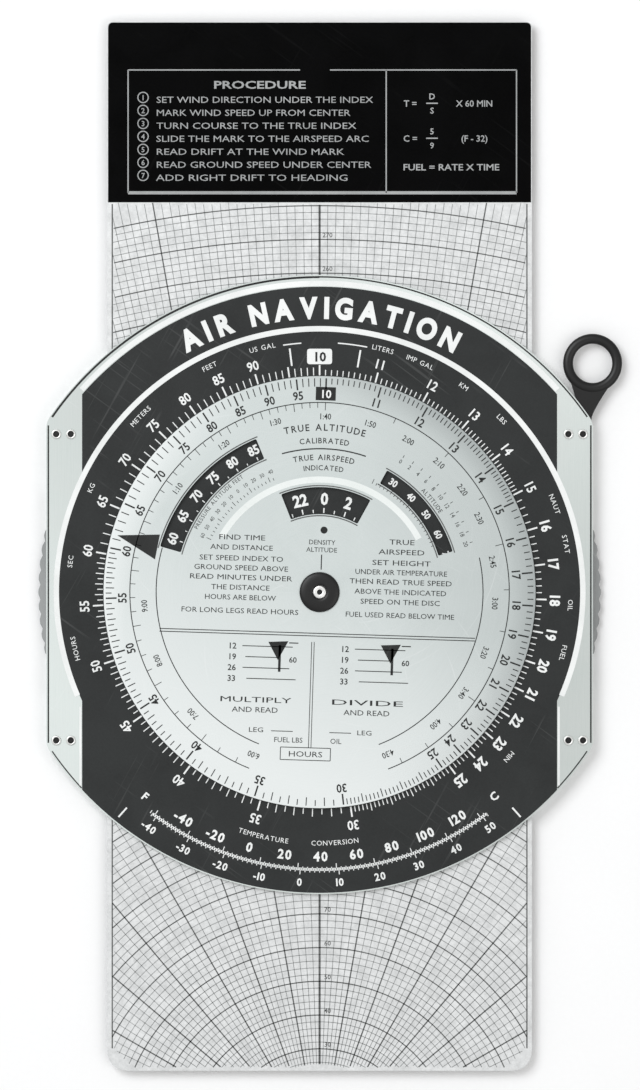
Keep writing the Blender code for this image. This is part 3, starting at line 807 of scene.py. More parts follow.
def turned_piece(name: str, profile: Loop, centre: Point, steps: int,
                 closed: bool = True) -> bpy.types.Object:
    """Turns a piece from its profile, as on a lathe.

    Args:
        name: The piece's name.
        profile: Radius and height along the profile, in millimetres.
        centre: The axis, measured from the pivot.
        steps: How many steps the turning has.
        closed: Whether the profile runs back to its start.

    Returns:
        The finished piece.
    """
    curve = bpy.data.curves.new(name, "CURVE")
    curve.dimensions = "3D"
    spline = curve.splines.new("POLY")
    spline.points.add(len(profile) - 1)
    for point, (radius, height) in zip(spline.points, profile):
        point.co = (radius * MM, 0.0, height * MM, 1.0)
    spline.use_cyclic_u = closed
    piece = bpy.data.objects.new(name, curve)
    bpy.context.scene.collection.objects.link(piece)
    select_only(piece)
    bpy.ops.object.convert(target="MESH")
    tidy_mesh(piece, steps)
    piece.data.transform(Matrix.Translation((PIVOT.x + centre[0] * MM, PIVOT.y + centre[1] * MM, 0.0)))
    return soften(piece, 0.0, 40.0)


def dress(piece: bpy.types.Object, finish: Finish, body: str,
          replaces: tuple[str, ...] = ()) -> bpy.types.Object:
    """Gives a piece its finish and body, and reports it.

    Args:
        piece: The finished piece.
        finish: What its surface is.
        body: The body it moves with.
        replaces: The frame's nodes that it stands for.

    Returns:
        The piece.
    """
    if not any(piece.data.materials):
        piece.data.materials.clear()
        piece.data.materials.append(finish.material())
    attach(piece, body)
    if replaces:
        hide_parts(*replaces)
    LOG.info("%s: %d faces, moves with %s", piece.name, len(piece.data.polygons), body)
    return piece


def darken(piece: bpy.types.Object, centre: Point, radius: float, above: float,
           finish: Finish) -> None:
    """Finishes a bright turned piece, with a dark finish in the recess of its head, painted where the
    recess lies in shade.

    Args:
        piece: The piece.
        centre: Its axis, measured from the pivot.
        radius: How wide the recess is.
        above: The height that the recess lies above.
        finish: The recess's finish.
    """
    piece.data.materials.append(BRIGHT.material())
    piece.data.materials.append(finish.material())
    for face in piece.data.polygons:
        offset = face.center.xy - PIVOT.xy - Vector(centre) * MM
        if face.center.z > above * MM and offset.length < radius * MM:
            face.material_index = 1


def finish_nodes(finish: Finish, *names: str) -> None:
    """Gives nodes of the frame, whose shape is right, their finish.

    Args:
        finish: What their surface is.
        names: The nodes.
    """
    for name in names:
        materials = frame["nodes"][name].data.materials
        materials.clear()
        materials.append(finish.material())
        LOG.info("%s: finished as %s", name, finish.name)


# ---------------------------------------------------------------- print


class Stock:
    """The repeated shapes that prints are stamped from, each modelled once."""

    strips: dict[int, bpy.types.Mesh] = {}
    letters: dict[tuple[str, float], bpy.types.Mesh] = {}
    cap: float = 0.0
    space: float = 0.4

    @classmethod
    def strip(cls, steps: int) -> bpy.types.Mesh:
        """Models a closed strip, one long from x = 0, one wide and one thick about the middle.

        Args:
            steps: How many pieces it has along its length.

        Returns:
            The strip's mesh.
        """
        if steps not in cls.strips:
            bpy.ops.object.select_all(action="DESELECT")
            bpy.ops.mesh.primitive_grid_add(x_subdivisions=steps, y_subdivisions=1, size=1.0,
                                            location=(0.0, 0.0, 0.0))
            strip = bpy.context.object
            bpy.ops.object.mode_set(mode="EDIT")
            bpy.ops.mesh.select_all(action="SELECT")
            bpy.ops.mesh.extrude_region_move(TRANSFORM_OT_translate={"value": (0.0, 0.0, 1.0)})
            bpy.ops.mesh.select_all(action="SELECT")
            bpy.ops.mesh.normals_make_consistent(inside=False)
            bpy.ops.object.mode_set(mode="OBJECT")
            cls.strips[steps] = strip.data.copy()
            cls.strips[steps].transform(Matrix.Translation((0.5, 0.0, -0.5)))
            bpy.data.objects.remove(strip)
        return cls.strips[steps]

    @classmethod
    def words(cls, text: str, weight: float) -> bpy.types.Mesh:
        """Models a line of lettering, centred, with capitals one high and one thick.

        Args:
            text: What it says.
            weight: How much its strokes are thickened.

        Returns:
            The lettering's mesh.
        """
        key = (text, weight)
        if key not in cls.letters:
            curve = bpy.data.curves.new("lettering", "FONT")
            curve.body = text
            curve.align_x = "CENTER"
            curve.resolution_u = TITLE_CURVE_STEPS if weight > TITLE_WEIGHT else TEXT_CURVE_STEPS
            curve.offset = weight
            curve.extrude = 0.5
            piece = bpy.data.objects.new("lettering", curve)
            bpy.context.scene.collection.objects.link(piece)
            select_only(piece)
            bpy.ops.object.convert(target="MESH")
            tidy_mesh(piece, merge=LETTER_MERGE)
            mesh = piece.data.copy()
            bpy.data.objects.remove(piece)
            if not cls.cap:  # the first line modelled is the title, which is all capitals
                cls.cap = max(point.co.y for point in mesh.vertices)
            mesh.transform(Matrix.Diagonal((1 / cls.cap, 1 / cls.cap, 1.0, 1.0))
                           @ Matrix.Translation((0.0, -cls.cap / 2, 0.0)))
            cls.letters[key] = mesh
        return cls.letters[key]

    @classmethod
    def width(cls, text: str, weight: float) -> float:
        """Returns how wide a line of lettering is, for capitals one high."""
        across = [point.co.x for point in cls.words(text, weight).vertices]
        return max(across) - min(across) if across else cls.space


@dataclass
class Print:
    """Ink of one colour on one face of a sheet, stamped piece by piece and laid as one."""

    name: str
    face: float
    side: Side = Side.FRONT
    coat: int = 0
    tilt: float = 0.0
    stamped: list[bpy.types.Mesh] = field(default_factory=list)

    def matrix(self, x: float, y: float, turn: float, size: tuple[float, float]) -> Matrix:
        """Places a stamp as the reader of this face sees it.

        Args:
            x: How far right of the pivot.
            y: How far above it.
            turn: The clockwise turn, in degrees.
            size: How much longer and wider the stamp gets, in millimetres.

        Returns:
            The stamp's matrix, in metres.
        """
        thick = INK_HEIGHT + INK_SINK
        middle = self.face + self.side.value * (self.coat * INK_HEIGHT + thick / 2 - INK_SINK)
        seen = Matrix.Identity(4) if self.side is Side.FRONT else Matrix.Rotation(math.pi, 4, "Y")
        return (Matrix.Translation((PIVOT.x, PIVOT.y, middle * MM)) @ seen
                @ Matrix.Rotation(-math.radians(self.tilt), 4, "Z")
                @ Matrix.Translation((x * MM, y * MM, 0.0))
                @ Matrix.Rotation(-math.radians(turn), 4, "Z")
                @ Matrix.Diagonal((size[0] * MM, size[1] * MM, thick * MM, 1.0)))

    def stamp(self, mesh: bpy.types.Mesh, matrix: Matrix) -> None:
        """Adds a copy of a shape, with its own mesh.

        Args:
            mesh: The shape.
            matrix: Where and how large it lies.
        """
        copy = mesh.copy()
        copy.transform(matrix)
        self.stamped.append(copy)

    def bar(self, start: Point, end: Point, width: float) -> None:
        """Draws a straight line.

        Args:
            start: Where it starts.
            end: Where it ends.
            width: How wide it is.
        """
        run = Vector(end) - Vector(start)
        turn = -math.degrees(math.atan2(run.y, run.x))
        self.stamp(Stock.strip(1), self.matrix(*start, turn, (run.length, width)))

    def ray(self, inner: float, outer: float, angle: float, width: float) -> None:
        """Draws a tick between two radii at a clockwise angle.

        Args:
            inner: The radius it starts from.
            outer: The radius it ends at.
            angle: Its clockwise angle, in degrees.
            width: How wide it is.
        """
        self.bar(clock(inner, angle), clock(outer, angle), width)

    def band(self, radius: float, width: float, start: float = 0.0, end: float = 360.0,
             centre: Point = (0.0, 0.0)) -> None:
        """Draws an arc of a given width.

        Args:
            radius: The middle of its width.
            width: How wide it is.
            start: The clockwise angle it starts at.
            end: The clockwise angle it ends at.
            centre: The arc's centre.
        """
        sweep_length = abs(math.radians(end - start)) * radius
        steps = max(4, int(abs(end - start) / 15.0), min(180, int(sweep_length / 1.6)))
        mesh = Stock.strip(steps).copy()
        for vertex in mesh.vertices:
            turn = start + (end - start) * vertex.co.x
            x, y = clock(radius + vertex.co.y * width, turn, centre)
            vertex.co.x, vertex.co.y = x, y
        mesh.transform(self.matrix(0.0, 0.0, 0.0, (1.0, 1.0)))
        self.stamped.append(mesh)

    def patch(self, loops: list[Loop]) -> None:
        """Fills an outline; loops after the first are left open.

        Args:
            loops: The outlines.
        """
        piece = flat_mesh("patch", loops, -0.5, 0.5)
        mesh = piece.data.copy()
        bpy.data.objects.remove(piece)
        mesh.transform(Matrix.Diagonal((1 / MM, 1 / MM, 1 / MM, 1.0)))
        mesh.transform(self.matrix(0.0, 0.0, 0.0, (1.0, 1.0)))
        self.stamped.append(mesh)

    def words(self, text: str, height: float, middle: Point, turn: float = 0.0,
              weight: float = 0.0, narrow: float = 1.0) -> None:
        """Prints a line of lettering about its middle.

        Args:
            text: What it says.
            height: How high its capitals are.
            middle: Where its middle is.
            turn: Its clockwise turn, in degrees.
            weight: How much its strokes are thickened.
            narrow: How much of its width it keeps.
        """
        size = (height * narrow, height)
        self.stamp(Stock.words(text, weight), self.matrix(*middle, turn, size))

    def fitted(self, text: str, height: float, middle: Point, width: float,
               turn: float = 0.0, weight: float = 0.0) -> None:
        """Prints a line of lettering that just fills a width.

        Args:
            text: What it says.
            height: How high its capitals are.
            middle: Where its middle is.
            width: How wide it is.
            turn: Its clockwise turn, in degrees.
            weight: How much its strokes are thickened.
        """
        self.words(text, height, middle, turn, weight,
                   width / (Stock.width(text, weight) * height))

    def arc_words(self, text: str, height: float, radius: float, angle: float,
                  weight: float = 0.0, gap: float = 0.28, narrow: float = 1.0,
                  upright: bool = False) -> None:
        """Prints lettering letter by letter round an arc.

        Args:
            text: What it says.
            height: How high its capitals are.
            radius: The radius of the capitals' middle.
            angle: The clockwise angle of the text's middle.
            weight: How much its strokes are thickened.
            gap: The space between letters, in capital heights.
            narrow: How much of its width each letter keeps.
            upright: Whether the letters' heads point at the pivot, as below the dial.
        """
        widths = [(Stock.width(letter, weight) * narrow + gap) * height for letter in text]
        way = -1.0 if upright else 1.0
        along = -sum(widths) / 2
        for letter, width in zip(text, widths):
            turn = angle + way * math.degrees((along + width / 2) / radius)
            along += width
            if letter != " ":
                lean = turn + 180.0 if upright else turn
                self.words(letter, height, clock(radius, turn), lean, weight, narrow)

    def number(self, text: str, height: float, radius: float, angle: float,
               weight: float = 0.0, narrow: float = 0.9) -> None:
        """Prints a number with its head outwards at a clockwise angle."""
        self.words(text, height, clock(radius, angle), angle, weight, narrow)

    def lay(self, finish: Finish, body: str, slot: Slot) -> bpy.types.Object:
        """Joins all that was stamped into one print and dresses it.

        Args:
            finish: The ink.
            body: The body it moves with.
            slot: The record's slot for its finish; not used.

        Returns:
            The print.
        """
        pieces = [bpy.data.objects.new(self.name, mesh) for mesh in self.stamped]
        for piece in pieces:
            bpy.context.scene.collection.objects.link(piece)
        select_only(*pieces)
        bpy.ops.object.join()
        made = bpy.context.object
        made.name = self.name
        made.data.name = self.name
        return dress(made, finish, body)


def log_angle(value: float) -> float:
    """Returns where a value stands on a one-decade slide rule, clockwise from its 10."""
    return 360.0 * math.log10(value / 10.0)


@dataclass(frozen=True)
class Decade:
    """A slide rule's scale from 10 to 100: its ticks and its numbers.

    The base is the radius that the ticks start from, and long, middle and short are their
    lengths, which are below zero where the ticks point at the pivot.
    """

    base: float
    long: float
    middle: float
    short: float
    width: float
    shift: float = 0.0

    def ticks(self, ink: Print) -> None:
        """Draws every tick of the scale.

        Args:
            ink: The print it is drawn in.
        """
        steps = ((10, 15, 10), (15, 30, 5), (30, 60, 2), (60, 100, 1))
        for first, last, parts in steps:
            for count in range((last - first) * parts):
                value = first + count / parts
                whole = count % parts == 0
                major = whole and (value <= 25 or value % 5 == 0)
                length = self.long if major else self.middle if whole else self.short
                width = self.width * (1.7 if major else 1.0)
                ink.ray(self.base, self.base + length, log_angle(value) + self.shift, width)

    @staticmethod
    def values() -> list[int]:
        """Returns the numbers printed beside the scale, but for the boxed 10."""
        return list(range(11, 26)) + list(range(30, 100, 5))


# ---------------------------------------------------------------- the riveted body


@dataclass
class Body:
    """The two riveted shells with their prints, and what holds them together.

    The margins say how far past the outermost rivets the straight sides run. The rings and
    lines of the prints are given by their radius, and ring_overlap says how much of the compass
    ring's rim the rear shell covers. The one number that is left out on the dial is unnumbered.
    """

    upper_margin: float = 2.9
    lower_margin: float = 1.4
    corner: float = 1.6
    eased: float = 0.14
    panel_half: float = 57.0
    panel_bulge: float = 62.7
    panel_upper_rim: float = 2.8
    panel_lower_rim: float = 0.3
    panel_hole: float = 3.0
    ring_overlap: float = 6.1
    pivot_hole: float = 2.65
    rivet_hole: float = 0.85
    tail_hole: float = 1.3
    edge_inset: float = 0.5
    corner_spread: float = 1.3
    dial: Decade = Decade(52.0, 2.5, 1.9, 1.35, 0.23)
    dial_numbers: float = 56.6
    unnumbered: int = 95
    unit_radius: float = 60.3
    dial_ring: float = 63.2
    title_radius: float = 68.4
    foot_line: float = 66.6
    drift_line: float = 62.1
    name: str = "body"

    def __post_init__(self) -> None:
        """Reads the outline's driving sizes from the frame."""
        lows, highs = reach("front_plate")
        self.half = highs[0]
        self.rivets = {index: centre_of(f"body_rivet_{index}") for index in range(1, 9)}
        heights = [place[1] for place in self.rivets.values()]
        self.upper_corner = max(heights) + self.upper_margin
        self.lower_corner = min(heights) - self.lower_margin
        self.upper_radius = self.arc_radius(highs[1] - self.upper_corner)
        self.lower_radius = self.arc_radius(self.lower_corner - lows[1])
        self.upper_centre = (0.0, highs[1] - self.upper_radius)
        self.lower_centre = (0.0, lows[1] + self.lower_radius)
        self.front = layer("front_plate")
        self.back = layer("back_plate")

    def arc_radius(self, rise: float) -> float:
        """Returns the radius of an arc over the body's width that rises this much."""
        return (self.half ** 2 + rise ** 2) / (2 * rise)

    @staticmethod
    def spread(radius: float, half: float) -> float:
        """Returns the angle from the vertical at which an arc of this radius is this far out."""
        return math.degrees(math.asin(half / radius))

    def outline(self) -> Loop:
        """Draws the shells' outline: two arcs joined by straight sides.

        Returns:
            The outline, from the pivot.
        """
        upper = self.spread(self.upper_radius, self.half)
        lower = self.spread(self.lower_radius, self.half)
        top = sweep(self.upper_radius, -upper, upper, 96, self.upper_centre)
        foot = sweep(self.lower_radius, 180.0 - lower, 180.0 + lower, 96, self.lower_centre)
        corners = (0, len(top) - 1, len(top), len(top) + len(foot) - 1)
        return rounded(top + foot, dict.fromkeys(corners, self.corner))

    def panel(self) -> Loop:
        """Draws the black panel's outline, which swells round the dial at mid height.

        Returns:
            The outline, from the pivot.
        """
        upper = self.upper_radius - self.panel_upper_rim
        lower = self.lower_radius - self.panel_lower_rim
        top = self.spread(upper, self.panel_half)
        foot = self.spread(lower, self.panel_half)
        swell = self.spread(self.panel_bulge, self.panel_half)
        return (sweep(upper, -top, top, 90, self.upper_centre)
                + sweep(self.panel_bulge, swell, 180.0 - swell, 40)
                + sweep(lower, 180.0 - foot, 180.0 + foot, 90, self.lower_centre)
                + sweep(self.panel_bulge, 180.0 + swell, 360.0 - swell, 40))

    def build(self) -> None:
        """Builds and dresses the shells, their prints and their rivets."""
        holes = [circle(self.rivet_hole, 24, place) for place in self.rivets.values()]
        shell = flat_piece("front_shell", [self.outline(), circle(self.pivot_hole, 48)] + holes,
                           *self.front, self.eased)
        dress(shell, SHEET, self.name, ("front_plate",))
        tails = [circle(self.tail_hole, 24, place) for place in self.rivets.values()]
        window = circle(-reach("azimuth_ring")[0][0] - self.ring_overlap, 180)
        rear = flat_piece("back_shell", [self.outline(), window] + tails, *self.back, self.eased)
        dress(rear, SHEET, self.name, ("back_plate",))
        finish_nodes(SHEET, "left_rail", "right_rail", "upper_spacer", "lower_spacer")
        finish_nodes(STEEL, "left_spring", "right_spring")
        finish_nodes(NYLON, "disc_washer")
        for index in self.rivets:
            self.rivet(index)
        self.print_panel()
        self.print_dial()
        self.print_base_rings()
        self.print_conversion()
        self.print_rear()

    def rivet(self, index: int) -> None:
        """Turns one tubular rivet, with a rolled head round a recess darkened with painted shade.

        Args:
            index: The rivet's number.
        """
        low, high = layer(f"body_rivet_{index}")
        profile = [(0.0, low), (0.9, low), (1.1, low + 0.08), (1.15, low + 0.3),
                   (0.7, low + 0.3), (0.7, high - 0.3), (1.15, high - 0.3), (1.14, high - 0.16),
                   (1.05, high - 0.05), (0.92, high), (0.8, high - 0.03), (0.72, high - 0.12),
                   (0.68, high - 0.3), (0.66, high - 0.5), (0.0, high - 0.5)]
        rivet = turned_piece(f"rivet_{index}", profile, self.rivets[index], 32, closed=False)
        # The oxide in the head's recess is painted shade of the hollow.
        darken(rivet, self.rivets[index], 0.7, high - 0.55, OXIDE)
        dress(rivet, BRIGHT, self.name, (f"body_rivet_{index}",))

    def print_panel(self) -> None:
        """Prints the black panel, the painted shadow lines along the shell's edge, the dial's ring and
        the title.
        """
        top = self.front[1]
        black = Print("panel_print", top)
        black.patch([self.panel(), circle(self.panel_hole, 48)])
        black.lay(PANEL_BLACK, self.name, Slot.BLACK)
        # The edge lines are painted shadow of the shell's edge: dark ink, wider on the upper left where
        # the shade is deepest.
        edge = Print("painted_edge_shadow", top)
        upper = self.spread(self.upper_radius, self.half) - self.corner_spread
        edge.band(self.upper_radius - self.edge_inset, 0.5, -upper, 0.0, self.upper_centre)
        edge.band(self.upper_radius - 0.45, 0.36, 0.0, upper, self.upper_centre)
        foot = self.spread(self.lower_radius, self.half) - self.corner_spread
        inner = self.spread(self.lower_radius, self.panel_half) + 0.5
        for side in (-1.0, 1.0):
            edge.band(self.lower_radius - self.edge_inset, 0.3, 180.0 + side * inner,
                      180.0 + side * foot, self.lower_centre)
            x = side * (self.half - self.edge_inset)
            edge.bar((x, self.upper_corner - 0.8), (x, self.lower_corner + 0.8), 0.36)
        edge.lay(INK_BLACK, self.name, Slot.BLACK)
        white = Print("panel_lines", top, coat=1)
        round_dial = self.spread(self.dial_ring, self.panel_half - 0.6) + 50.0
        white.band(self.dial_ring, 1.3, -round_dial, round_dial)
        rim = self.spread(self.upper_radius, self.panel_half + 1.6)
        white.band(self.upper_radius - 2.0, 1.3, -rim, rim, self.upper_centre)
        for side in (-1.0, 1.0):
            x = side * (self.panel_half + 0.4)
            white.bar((x, -27.5), (x, -46.4), 0.5)
        white.arc_words("AIR NAVIGATION", 5.0, self.title_radius, 0.0, 0.054, 0.3, 0.86)
        white.lay(INK_WHITE, self.name, Slot.WHITE)

    def print_dial(self) -> None:
        """Prints the fixed outer scale with its numbers, boxed 10 and unit names."""
        top = self.front[1]
        scale = Print("dial_scale", top, coat=1)
        self.dial.ticks(scale)
        for value in self.dial.values():
            if value == self.unnumbered:
                continue
            height, weight = (2.5, 0.035) if 16 <= value <= 25 else (2.35, 0.02)
            scale.number(str(value), height, self.dial_numbers, log_angle(value), weight)
        scale.patch([rounded([(-3.0, 54.7), (3.0, 54.7), (3.0, 58.4), (-3.0, 58.4)],
                             dict.fromkeys(range(4), 0.7))])
        for side, angle in ((-1.0, 7.0), (1.0, 9.6)):
            scale.band(59.9, 0.3, side * 4.2, side * (angle + 1.4))
            scale.ray(54.7, 58.9, side * angle, 0.42)
        scale.lay(INK_WHITE, self.name, Slot.WHITE)
        units = Print("dial_units", top, coat=1)
        labels = (("US GAL", -13.2), ("LITERS", 14.6), ("IMP GAL", 23.6), ("KM", 35.0),
                  ("LBS", 46.5), ("NAUT", 69.5), ("STAT", 79.0), ("OIL", 93.0), ("FUEL", 104.0),
                  ("MIN", 131.0), ("FEET", -26.0), ("METERS", -45.5), ("KG", -65.5),
                  ("SEC", -83.0), ("HOURS", -103.0))
        for text, angle in labels:
            units.arc_words(text, 1.25, self.unit_radius, angle, 0.0, 0.2)
        units.lay(INK_WHITE, self.name, Slot.WHITE)
        boxed = Print("dial_ten", top, coat=2)
        boxed.words("10", 2.3, (0.0, 56.55), 0.0, 0.03)
        boxed.lay(INK_BLACK, self.name, Slot.BLACK)

    def print_base_rings(self) -> None:
        """Prints the three rings of figures that show through the computer disc's windows."""
        rings = Print("window_figures", self.front[1], coat=1)
        for count in range(40):
            angle = count * 9.0 + 2.0
            rings.number(str(count * 5 % 100), 2.3, 37.6, angle, 0.03)
            rings.ray(34.9, 35.7, angle, 0.25)
            rings.ray(34.9, 35.4, angle + 4.5, 0.2)
        for count in range(36):
            rings.number(str(count % 10 * 10), 1.7, 31.7, count * 10.0 + 4.0, 0.03)
        for count in range(24):
            angle = count * 15.0 + 3.0
            rings.number(str(count % 12 * 2), 2.9, 22.5, angle, 0.035)
            rings.ray(19.0, 20.2, angle, 0.3)
            rings.ray(19.0, 19.8, angle + 7.5, 0.25)
        rings.lay(INK_WHITE, self.name, Slot.WHITE)

    def print_conversion(self) -> None:
        """Prints the temperature scale along the foot of the panel."""
        scale = Print("foot_scale", self.front[1], coat=1)
        start, steps = 143.0, 74
        scale.band(self.foot_line, 0.62, start, start + steps)
        for count in range(steps + 1):
            outer = 1.3 if count % 8 == 1 else 0.7
            inner = 1.4 if count % 8 == 1 else 0.6
            scale.ray(self.foot_line - 0.2, self.foot_line + outer, start + count, 0.2)
            scale.ray(self.foot_line + 0.2, self.foot_line - inner, start + count + 0.5, 0.2)
        for count in range(10):
            text = str(count * 10 - 40)
            scale.arc_words(text, 1.85, 69.7, 216.0 - count * 8.0, 0.03, 0.14, 0.95, True)
        for count in range(9):
            text = str(count * 20 - 40)
            scale.arc_words(text, 2.3, 63.4, 211.0 - count * 7.8, 0.035, 0.14, 0.95, True)
        for text, angle in (("TEMPERATURE", 193.0), ("CONVERSION", 176.5)):
            scale.arc_words(text, 1.25, 60.2, angle, 0.0, 0.2, 1.0, True)
        for text, angle in (("F", 220.5), ("C", 139.5)):
            scale.arc_words(text, 2.0, 64.4, angle, 0.03, 0.2, 1.0, True)
        for side in (-1.0, 1.0):
            scale.ray(69.4, 72.4, 180.0 + side * 41.8, 0.4)
        scale.lay(INK_WHITE, self.name, Slot.WHITE)

    def print_rear(self) -> None:
        """Prints the index and the drift scales on the wind side's shell."""
        ink = Print("drift_scale", self.back[0], Side.REAR)
        for degree in range(-45, 46):
            length = 2.8 if degree % 10 == 0 else 2.1 if degree % 5 == 0 else 1.5
            width = 0.3 if degree % 10 == 0 else 0.17
            for half_turn in (0.0, 180.0):
                ink.ray(self.drift_line, self.drift_line + length, degree + half_turn, width)
        for degree in (10, 20, 30, 40):
            for angle in (degree, -degree):
                ink.number(str(degree), 2.2, 66.7, angle, 0.02)
        ink.patch([[(0.0, 62.0), (-1.7, 65.4), (1.7, 65.4)]])
        ink.arc_words("TRUE INDEX", 2.5, 69.3, 0.0, 0.03, 0.26)
        for text, angle in (("DRIFT LEFT", -27.0), ("DRIFT RIGHT", 27.0)):
            ink.arc_words(text, 1.9, 70.6, angle, 0.02, 0.24)
        ink.arc_words("WIND SIDE", 2.1, 67.4, 180.0, 0.02, 0.3, 1.0, True)
        upper = self.spread(self.upper_radius, self.half) - self.corner_spread
        ink.band(self.upper_radius - 1.2, 0.3, -upper, upper, self.upper_centre)
        ink.lay(INK_BLACK, self.name, Slot.BLACK)


# ---------------------------------------------------------------- the centre and the lanyard ring


@dataclass
class Hub:
    """The black grommet and the bright pin that the computer disc turns on."""

    bore: float = 1.65
    sleeve: float = 2.5
    dimple: float = 0.6
    dimple_depth: float = 0.35
    pin_play: float = 0.15
    foot: float = 3.3
    foot_thickness: float = 0.35
    name: str = "body"

    def build(self) -> None:
        """Turns and dresses the grommet and the pin."""
        self.grommet()
        self.pin()

    def grommet(self) -> None:
        """Turns the black grommet: a sleeve under a domed flange."""
        low, high = layer("disc_eyelet")
        rim = reach("disc_eyelet")[1][0]
        flange = high - 0.5
        lip = [(self.bore, low), (self.bore, high - 0.3), (self.bore + 0.08, high - 0.12),
               (self.bore + 0.3, high - 0.02), (self.bore + 0.7, high), (rim - 1.5, high - 0.02),
               (rim - 0.8, high - 0.08), (rim - 0.35, high - 0.19), (rim - 0.08, high - 0.34),
               (rim, high - 0.44), (rim - 0.03, flange), (self.sleeve, flange), (self.sleeve, low)]
        grommet = turned_piece("centre_grommet", lip, (0.0, 0.0), 96)
        dress(grommet, OXIDE, self.name, ("disc_eyelet",))

    def pin(self) -> None:
        """Turns the bright pin: a stem with a dark dimple, on a flat foot."""
        low, high = layer("pivot_pin")
        radius = self.bore - self.pin_play
        foot = low + self.foot_thickness
        stem = [(0.0, high - self.dimple_depth), (self.dimple * 0.7, high - self.dimple_depth),
                (self.dimple, high - self.dimple_depth * 0.5), (self.dimple + 0.05, high - 0.03),
                (self.dimple + 0.12, high), (radius - 0.2, high), (radius - 0.06, high - 0.04),
                (radius, high - 0.16), (radius, foot), (self.foot, foot), (self.foot, low),
                (0.0, low)]
        pin = turned_piece("centre_pin", stem, (0.0, 0.0), 64, closed=False)
        # The black in the pin's dimple is painted shade of the dimple.
        darken(pin, (0.0, 0.0), self.dimple, high - 0.5, INK_BLACK)
        dress(pin, BRIGHT, self.name, ("pivot_pin",))


@dataclass
class HangRing:
    """The dark lanyard ring: a round eye on a flared tang that turns on a body rivet.

    The reach is from the rivet to the eye's middle, along the angle, anticlockwise from +X.
    """

    reach: float = 17.2
    angle: float = 82.0
    eye: float = 5.9
    half_width: float = 1.2
    half_thickness: float = 0.8
    tang_half: float = 1.6
    flare: float = 4.6
    neck: float = 4.5
    flare_power: float = 1.25
    rivet_hole: float = 0.85
    name: str = "lanyard"

    def build(self) -> None:
        """Builds the eye and the tang as one dark piece."""
        low, high = layer("right_rail")
        root = [clock(self.tang_half, 180.0 + 180.0 * step / 16) for step in range(17)]
        end = self.reach - self.eye + self.half_width * 0.6
        flank = []
        for step in range(9):
            part = step / 8
            widening = (self.flare - self.tang_half) * part ** self.flare_power
            flank.append((self.neck + (end - self.neck) * part, self.tang_half + widening))
        hollow = [(end + 0.5, self.flare - 1.2), (end - 0.3, 0.0), (end + 0.5, 1.2 - self.flare)]
        outline = root + flank + hollow + [(x, -y) for x, y in reversed(flank)]
        tang = flat_mesh("lanyard_loop", [outline, circle(self.rivet_hole, 24)], low, high)
        soften(tang, 0.16)
        bpy.ops.object.select_all(action="DESELECT")
        bpy.ops.mesh.primitive_torus_add(
            location=(0.0, 0.0, 0.0), major_segments=96, minor_segments=20,
            major_radius=self.eye * MM, minor_radius=self.half_width * MM)
        eye = bpy.context.object
        flat = Matrix.Diagonal((1.0, 1.0, self.half_thickness / self.half_width, 1.0))
        eye.data.transform(Matrix.Translation((self.reach * MM, 0.0, (low + high) / 2 * MM)) @ flat)
        soften(eye, 0.0, 60.0)
        select_only(tang, eye)
        bpy.ops.object.join()
        turn = Matrix.Rotation(math.radians(self.angle), 4, "Z")
        tang.data.transform(Matrix.Translation((TANG.x, TANG.y, 0.0)) @ turn)
        dress(tang, OXIDE, self.name, ("lanyard_ring",))


# ---------------------------------------------------------------- the computer disc


